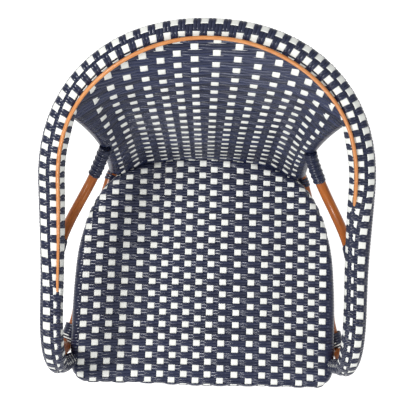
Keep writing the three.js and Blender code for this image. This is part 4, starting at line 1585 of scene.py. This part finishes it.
    def build(self) -> None:
        """Makes and dresses the back's pieces."""
        upper, lower = range(-self.extra_rows, self.split_row), range(self.split_row, self.rows + 1)
        self.across("back_strands_upper", upper).build(NAVY, "woven_strands", "woven_back")
        self.across("back_strands_lower", lower).build(NAVY, "woven_strands", "woven_back")
        self.upward().build(WHITE, "woven_strands", "woven_back")


@dataclass
class PoleFrame:
    """Bare poles: legs, posts, hoop, slats, side rails, arm supports, arches and the back's foot pole."""

    plan: ChairPlan
    support_radius: float = 9.0
    arch_radius: float = 8.0
    slat_radius: float = 8.0
    lower_rail_radius: float = 7.0
    node_spacing: float = 190.0
    node_swell: float = 0.03
    node_reach: float = 6.0
    node_shift: float = 25.0
    wander: float = 0.006
    wander_length: float = 31.0
    ring_reach: float = 1.6
    sides: int = 20
    slat_reaches: tuple[float, float] = (-235.0, -95.0)
    slat_drops: tuple[float, float] = (18.0, 19.0)
    support_rise: float = 157.0
    support_beside: float = 4.0
    support_post_share: float = 0.43
    support_arm_share: float = 0.6
    support_sweep: float = 57.0
    support_dip: float = 55.0
    support_lean: float = -3.0
    support_flare: float = 27.0
    support_forward: float = 76.0
    arch_foot: float = 215.0
    side_arch_foot: float = 193.0
    arch_squareness: float = 2.6
    side_rail_shares: tuple[tuple[float, float], ...] = (
        (0.045, 0.012), (0.135, 0.05), (0.28, 0.18), (0.53, 0.36), (0.66, 0.56), (0.74, 0.76),
        (0.86, 0.9), (1, 1),
    )
    made: dict = field(default_factory=dict)

    def pole(self, name: str, line: np.ndarray, radius: float, reference: tuple, seed: int, node: str,
             plain: bool = False) -> None:
        """One cane pole: its radius swells at the nodes and wanders a little, and dark rings mark them.

        Args:
            name: the piece's name.
            line: its centre line.
            radius: its radius.
            reference: a way never along it.
            seed: settles where its nodes are.
            node: the CAD node that it stands for.
            plain: whether it is cut from between two nodes of the cane.
        """
        draw = np.random.default_rng(seed)
        path = evenly(line, max(int(run(line)[-1] / 4), 24))
        at = run(path)
        first = draw.uniform(0.2, 0.8) * self.node_spacing
        spots = np.arange(first, at[-1], self.node_spacing)
        spots = spots + draw.uniform(-self.node_shift, self.node_shift, len(spots))
        held = len(spots) and not plain
        off = np.min(np.abs(at[:, None] - spots[None]), axis=1) if held else np.full(len(at), 1e3)
        swell = self.node_swell * np.exp(-((off / self.node_reach) ** 2))
        wander = self.wander * np.sin(at / self.wander_length + draw.uniform(0, 6)) - self.wander
        ring = np.exp(-((off / (self.ring_reach * 2)) ** 2))
        bundle = Bundle(name)
        bundle.round_bar(path, np.array(reference, float), radius * (1 + swell + wander), self.sides,
                         float(draw.uniform(0.3, 0.7)), ring)
        bundle.build(CARAMEL, "rattan_pole", node)

    def support_line(self, side: int, rail: Rail) -> np.ndarray:
        """Arm support: a cubic from beside the post, dipping forward and up to the inner side of the arm.

        Args:
            side: -1 for the left, 1 for the right.
            rail: the rail whose arm it carries.

        Returns:
            Its centre line from the post.
        """
        plan = self.plan
        post = plan.back_point(np.array(float(side)), np.array(self.support_post_share))
        top = np.array([side * (abs(post[0]) + self.support_beside), post[1] - plan.leg_radius,
                        plan.seat_height + self.support_rise])
        share = self.support_arm_share
        arc_length = run(plan.rail_arc(np.linspace(0, np.pi / 2, ARC_STATIONS)) * (1, 1, 0))[-1]
        reach = (plan.arm_reach - plan.curl_radius) * share
        arm = np.array([side * float(plan.arm_x(share)), -reach, float(plan.rail_height(arc_length + reach))])
        under = arm + (-side * self.support_radius, 0, -rail.half_height / 2)
        first = top + (side * self.support_flare, -self.support_forward, -self.support_dip)
        second = under + (-side * self.support_lean, self.support_sweep, -self.support_dip)
        t = np.linspace(0, 1, 80)[:, None]
        return top * (1 - t) ** 3 + 3 * first * t * (1 - t) ** 2 + 3 * second * t**2 * (1 - t) + under * t**3

    def side_rail_line(self, side: int) -> np.ndarray:
        """Side rail, level, from post to front leg.

        Args:
            side: -1 for the left, 1 for the right.

        Returns:
            Its centre line from the post.
        """
        plan = self.plan
        shares = np.array(self.side_rail_shares)
        x = side * between(plan.post_half_width, plan.leg_half_width, shares[:, 0])
        y = between(plan.post_reach, -plan.leg_reach, shares[:, 1])
        return spline(np.stack([x, y, np.full(len(x), plan.side_rail_height)], axis=1), 16)

    def arch_line(self, start: np.ndarray, end: np.ndarray, crown: float) -> np.ndarray:
        """Arch between two legs: a superellipse in height, its feet on the legs' faces.

        Args:
            start: its foot on one leg's line.
            end: its foot on the other's.
            crown: height of its middle.

        Returns:
            Its centre line.
        """
        inset = unit(end - start) * self.plan.leg_radius * 0.8
        share = (1 - np.cos(np.linspace(0, np.pi, 90))) / 2
        rise = (1 - np.abs(2 * share - 1) ** self.arch_squareness) ** (1 / self.arch_squareness)
        line = (start + inset) + (end - start - 2 * inset) * share[:, None]
        return np.column_stack([line[:, :2], start[2] + (crown - start[2]) * rise])

    def foot_on(self, line: np.ndarray, height: float) -> np.ndarray:
        """Point of a leg's line at a height.

        Args:
            line: the leg's centre line.
            height: the height asked for.

        Returns:
            The point.
        """
        order = np.argsort(line[:, 2])
        spot = sample(line[order], line[order, 2], np.array(height))
        return np.array([spot[0], spot[1], height])

    def build(self, rail: Rail) -> None:
        """Makes every pole.

        Args:
            rail: the rail that the arm supports reach.
        """
        plan = self.plan
        hoop = np.concatenate([plan.hoop, plan.hoop[:1]])
        self.pole("seat_hoop_pole", hoop, plan.hoop_radius, tuple(UP), 3, "seat_hoop")
        for number, (reach, drop) in enumerate(zip(self.slat_reaches, self.slat_drops), start=1):
            near = plan.hoop[plan.hoop[:, 0] > 0]
            half = near[np.argmin(np.abs(near[:, 1] - reach)), 0] - plan.hoop_radius
            line = np.array([(-half, reach, plan.seat_height - drop), (half, reach, plan.seat_height - drop)])
            self.pole(f"seat_cross_slat_{number}", line, self.slat_radius, tuple(UP), 4 + number,
                      f"seat_slat_{number}")
        posts, legs = {}, {}
        for name, side in SIDES:
            posts[side], legs[side] = plan.post_line(side), plan.leg_line(side)
            self.pole(f"rear_post_{name}", posts[side], plan.leg_radius, (1, 0, 0), 11 + side,
                      f"back_post_{name}")
            self.pole(f"front_leg_pole_{name}", legs[side], plan.leg_radius, (1, 0, 0), 15 + side,
                      f"front_leg_{name}")
            support = self.support_line(side, rail)
            self.pole(f"arm_brace_{name}", support, self.support_radius, (1, 0, 0), 19 + side,
                      f"arm_support_{name}", True)
            side_rail = self.side_rail_line(side)
            self.pole(f"side_pole_{name}", side_rail, plan.side_rail_radius, tuple(UP), 23 + side,
                      f"side_rail_{name}")
            self.made[f"support_{name}"], self.made[f"side_rail_{name}"] = support, side_rail
        under_rim = plan.hoop_height - plan.rim_radius - plan.gap - self.arch_radius
        under_side = plan.side_rail_height - plan.side_rail_radius - plan.gap - self.arch_radius
        front = [self.foot_on(legs[side], self.arch_foot) for side in (-1, 1)]
        rear = [self.foot_on(posts[side], self.arch_foot) for side in (-1, 1)]
        self.pole("arch_pole_front", self.arch_line(*front, under_rim), self.arch_radius, (0, 1, 0), 31,
                  "arch_front")
        self.pole("arch_pole_rear", self.arch_line(*rear, under_rim), self.arch_radius, (0, 1, 0), 32,
                  "arch_rear")
        for name, side in SIDES:
            ends = (self.foot_on(legs[side], self.side_arch_foot),
                    self.foot_on(posts[side], self.side_arch_foot))
            self.pole(f"arch_pole_{name}", self.arch_line(*ends, under_side), self.arch_radius, (1, 0, 0),
                      34 + side,
                      f"arch_{name}")
        u = np.linspace(-0.94, 0.94, 60)
        v = np.full(60, (plan.seat_height + 2 * plan.back_lift + self.lower_rail_radius - plan.hoop_height)
                    / (plan.back_height - plan.hoop_height))
        behind = (2.5 + plan.gap + self.lower_rail_radius) * (1 - 0.3 * u**2)
        low = plan.back_point(u, v) + np.stack([0 * u, behind, 0 * u], axis=1)
        self.pole("back_foot_pole", low, self.lower_rail_radius, tuple(UP), 41, "back_lower_rail")


@dataclass
class Bindings:
    """Strands wound round the poles where they cross or end."""

    pitch: float = 5.1
    width: float = 4.9
    thick: float = 1.6
    gap: float = 0.1
    cross_lift: float = 0.6
    cross_share: float = 0.62
    samples: int = 28
    support_turns: int = 11
    support_start: float = -1.0
    end_turns: int = 2
    arm_turns: int = 4
    arm_from_end: float = 42.0
    rear_turns: int = 3
    rear_start: float = 10.0
    front_turns: int = 6
    white_after: float = 3.9
    white_share: float = 0.5
    white_lift: float = 0.9
    front_radius: float = 13.3
    white_turns: int = 2
    front_from_end: float = 42.0

    def closed_end(self, bundle: Bundle, line: np.ndarray, radius: float) -> None:
        """Strand laid in a flat spiral over a pole's end: its radius grows evenly with its turn.

        Args:
            bundle: the winding that it joins.
            line: the pole's centre line.
            radius: the pole's radius.
        """
        turn = np.linspace(0, 2 * np.pi * self.end_turns, self.end_turns * self.samples + 1)
        axis = ways(line)[0]
        side = squared(UP, axis)
        way = side * np.cos(turn)[:, None] + np.cross(axis, side) * np.sin(turn)[:, None]
        reach = (radius + self.thick) * turn / turn[-1]
        path = line[0] - axis * (self.thick / 2 + self.gap) + way * reach[:, None]
        bundle.strand(path, np.broadcast_to(-axis, path.shape), self.width / 2, self.thick / 2,
                      Section.STRAND, 0.4)

    def wind(self, name: str, line: np.ndarray, start: float, turns: int, radius: float, finish: Finish,
             slot: str,
             crossed: bool = False, share: float = 1.0) -> None:
        """A strand wound round a pole, its turns side by side, and crossed by a steeper one where asked.

        Args:
            name: the CAD node that it stands for.
            line: the pole's centre line.
            start: length along it where the winding starts.
            turns: how many turns it has.
            radius: the pole's radius.
            finish: its material.
            slot: its material slot.
            crossed: whether a second layer goes over it slantwise.
            share: its width as a share of a full strand's.
        """
        bundle = Bundle(f"{name}_winding")
        layers = [(self.pitch, 0.0, share, turns)]
        if crossed:
            layers.append((-self.pitch * 2, self.thick * self.cross_lift, self.cross_share, turns // 2))
            self.closed_end(bundle, line, radius)
        at = run(line)
        for number, (pitch, lift, part, count) in enumerate(layers):
            turn = np.linspace(0, 2 * np.pi * count, count * self.samples + 1)
            begin = start if pitch > 0 else start + turns * self.pitch
            where = begin + pitch * turn / (2 * np.pi)
            axis = sample(ways(line), at, where)
            centre = sample(line, at, where) + axis * np.minimum(where, 0)[:, None]
            upright = np.abs(axis[len(axis) // 2, 2]) > 0.9
            side = squared(np.broadcast_to([1.0, 0, 0] if upright else UP, axis.shape), axis)
            other = np.cross(axis, side)
            way = side * np.cos(turn)[:, None] + other * np.sin(turn)[:, None]
            path = centre + way * (radius + self.thick / 2 + self.gap + lift)
            bundle.strand(path, way, self.width / 2 * part, self.thick / 2, Section.STRAND,
                          0.4 + 0.2 * number)
        bundle.build(finish, slot, name)

    def build(self, poles: PoleFrame) -> None:
        """Winds every binding.

        Args:
            poles: the poles that are wound.
        """
        for name, _ in SIDES:
            support, rail = poles.made[f"support_{name}"], poles.made[f"side_rail_{name}"]
            self.wind(f"support_tie_{name}", support, self.support_start, self.support_turns,
                      poles.support_radius,
                      NAVY, "navy_strand", crossed=True)
            self.wind(f"arm_tie_{name}", support, run(support)[-1] - self.arm_from_end, self.arm_turns,
                      poles.support_radius, NAVY, "navy_strand")
            self.wind(f"rear_tie_{name}", rail, self.rear_start, self.rear_turns, poles.plan.side_rail_radius,
                      NAVY,
                      "navy_strand")
            start = run(rail)[-1] - self.front_from_end
            self.wind(f"front_tie_{name}", rail, start, self.front_turns, self.front_radius, NAVY,
                      "navy_strand")
            self.wind(f"front_tie_white_{name}", rail, start + self.white_after * self.pitch,
                      self.white_turns,
                      self.front_radius + self.white_lift, WHITE, "white_strand", share=self.white_share)


@dataclass
class Glides:
    """Nylon cups under the four feet: a turned cup with a rounded foot and a rolled lip."""

    radius: float = 16.5
    height: float = 20.0
    lip: float = 1.6
    socket: float = 12.9
    foot_round: float = 3.0
    foot_flat: float = 11.5
    floor: float = 6.0
    sides: int = 40

    def profile(self) -> np.ndarray:
        """Radius and height pairs from the foot's middle, round its edge, over the lip and down the socket.

        Returns:
            Pairs, shape (N, 2).
        """
        turn = np.linspace(-np.pi / 2, 0, 7)
        bend = self.foot_round
        edge = np.stack([self.radius - bend + bend * np.cos(turn), bend + bend * np.sin(turn)], axis=1)
        over = np.linspace(0, np.pi, 9)
        middle = (self.radius + self.socket) / 2
        half = (self.radius - self.socket) / 2
        rim = np.stack([middle + half * np.cos(over), self.height - self.lip + self.lip * np.sin(over)],
                       axis=1)
        well = np.array([(self.socket, self.floor + 1), (self.socket - 1, self.floor), (0.01, self.floor)])
        return np.concatenate([[(0.01, 0.0), (self.foot_flat, 0.0)], edge, rim, well])

    def build(self, plan: ChairPlan) -> None:
        """Turns the profile round each foot: a circle of the profile's radius at each of its heights.

        Args:
            plan: the chair's lines.
        """
        profile = self.profile()
        for name, side in SIDES:
            feet = (("front", plan.leg_line(side)[0]), ("rear", plan.post_line(side)[0]))
            for end, foot in feet:
                bundle = Bundle(f"glide_cup_{end}_{name}")
                turn = 2 * np.pi * np.arange(self.sides) / self.sides
                ring = np.stack([np.cos(turn), np.sin(turn), 0 * turn], axis=1)
                rings = ring[None] * profile[:, :1, None] + UP * profile[:, 1, None, None]
                bundle.grid((rings + (foot[0], foot[1], 0.0))[::-1], 0.5)
                bundle.build(NYLON, "nylon_glide", f"glide_{end}_{name}")


@dataclass
class HiddenCore:
    """Solids of the frame that stay as they are inside the weave."""

    screws: tuple[str, ...] = ("leg_screw_left", "leg_screw_right", "post_screw_left", "post_screw_right")

    def dress(self) -> None:
        """Gives each kept solid its finish."""
        for name in self.screws:
            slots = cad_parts[name].data.materials
            slots.clear()
            slots.append(ZINC.material())
            log.info("%s: kept, %s", name, ZINC.name)


@dataclass
class Studio:
    """Pale floor, soft lamps and the camera above the chair, in metres."""

    camera_place: tuple[float, float, float] = (0.0031, 0.0145, 3.055)
    camera_turn_degrees: float = 1.6
    lens: float = 122.9
    sensor: float = 36.0
    aim: tuple[float, float, float] = (0.0, 0.0, 0.5)
    lamps: tuple[tuple[str, tuple[float, float, float], float, float], ...] = (
        ("lamp_left", (-1.15, 0.25, 2.6), 0.6, 32.0),
        ("lamp_right", (1.5, -0.6, 2.4), 0.7, 6.0),
        ("lamp_front", (-0.5, -2.1, 2.0), 0.6, 23.0),
    )
    air: tuple[float, float] = (0.5, 1.0)
    floor_half: float = 6.0
    floor_shade: str = "#e6e6e6"
    floor_glow: float = 0.62

    def camera(self) -> None:
        """Camera looking straight down from above the seat."""
        data = bpy.data.cameras.new("overhead_camera")
        data.lens = self.lens
        data.sensor_width = self.sensor
        camera = bpy.data.objects.new("overhead_camera", data)
        camera.location = self.camera_place
        camera.rotation_euler = (0, 0, math.radians(self.camera_turn_degrees))
        bpy.context.scene.collection.objects.link(camera)
        bpy.context.scene.camera = camera

    def lamp(self, name: str, place: tuple[float, float, float], size: float, watts: float) -> None:
        """Square lamp at a place, facing the seat.

        Args:
            name: the lamp's name.
            place: where it hangs.
            size: its side.
            watts: its power.
        """
        data = bpy.data.lights.new(name, "AREA")
        data.size = size
        data.energy = watts
        lamp = bpy.data.objects.new(name, data)
        lamp.location = place
        lamp.rotation_euler = (Vector(self.aim) - Vector(place)).to_track_quat("-Z", "Y").to_euler()
        lamp.visible_camera = False
        bpy.context.scene.collection.objects.link(lamp)

    def seen(self, tree: bpy.types.NodeTree) -> bpy.types.NodeSocket:
        """1 for rays from the camera, from a mirror or through glass, and 0 for light on the object.

        Args:
            tree: the floor's node tree.

        Returns:
            The share.
        """
        path = add_node(tree, "ShaderNodeLightPath")
        held = path.outputs["Is Camera Ray"]
        for ray in ("Is Glossy Ray", "Is Transmission Ray"):
            held = add_node(tree, "ShaderNodeMath", {"operation": "MAXIMUM"}, i0=held,
                            i1=path.outputs[ray]).outputs[0]
        return held

    def floor(self) -> None:
        """Painted floor: matt pale grey under the lamps, with a glow that only the eye gets; shadows stay."""
        material = bpy.data.materials.new("matt_painted_floor")
        material.use_nodes = True
        tree = material.node_tree
        tree.nodes.clear()
        paint = add_node(tree, "ShaderNodeBsdfDiffuse", Color=linear(self.floor_shade))
        glow = add_node(tree, "ShaderNodeMath", {"operation": "MULTIPLY"}, i0=self.seen(tree),
                        i1=self.floor_glow)
        light = add_node(tree, "ShaderNodeEmission", Color=(1, 1, 1, 1), Strength=glow.outputs[0])
        both = add_node(tree, "ShaderNodeAddShader", i0=paint.outputs[0], i1=light.outputs[0])
        add_node(tree, "ShaderNodeOutputMaterial", Surface=both.outputs[0])
        mesh = bpy.data.meshes.new("studio_floor")
        half = self.floor_half
        mesh.from_pydata([(-half, -half, 0), (half, -half, 0), (half, half, 0), (-half, half, 0)], [],
                         [(0, 1, 2, 3)])
        mesh.materials.append(material)
        floor = bpy.data.objects.new("studio_floor", mesh)
        bpy.context.scene.collection.objects.link(floor)

    def world(self) -> None:
        """Even pale light all round, white to the eye."""
        world = bpy.data.worlds.new("studio_air")
        bpy.context.scene.world = world
        world.use_nodes = True
        tree = world.node_tree
        tree.nodes.clear()
        eye = add_node(tree, "ShaderNodeLightPath").outputs["Is Camera Ray"]
        level = add_node(tree, "ShaderNodeMapRange", Value=eye, To_Min=self.air[0], To_Max=self.air[1])
        back = add_node(tree, "ShaderNodeBackground", Color=(1, 1, 1, 1), Strength=level.outputs[0])
        add_node(tree, "ShaderNodeOutputWorld", Surface=back.outputs[0])

    def build(self) -> None:
        """Sets the room, the lamps, the camera and the plain view."""
        self.camera()
        self.floor()
        self.world()
        for lamp in self.lamps:
            self.lamp(*lamp)
        bpy.context.scene.view_settings.view_transform = "Standard"


def main() -> None:
    """Builds the chair's pieces in order, then the room."""
    logging.basicConfig(level=logging.INFO, format="%(name)s: %(message)s")
    plan = ChairPlan()
    low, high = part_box("glide_front_left")
    Bundle.drawing_shift = np.array([0.0, (low.y + high.y) / 2 / MM + plan.leg_reach, 0.0])
    rail = Rail(plan)
    rail.build()
    WovenSeat(plan).build()
    WovenBack(plan).build()
    poles = PoleFrame(plan)
    poles.build(rail)
    Bindings().build(poles)
    Glides().build(plan)
    HiddenCore().dress()
    Studio().build()


if __name__ == "__main__":
    main()
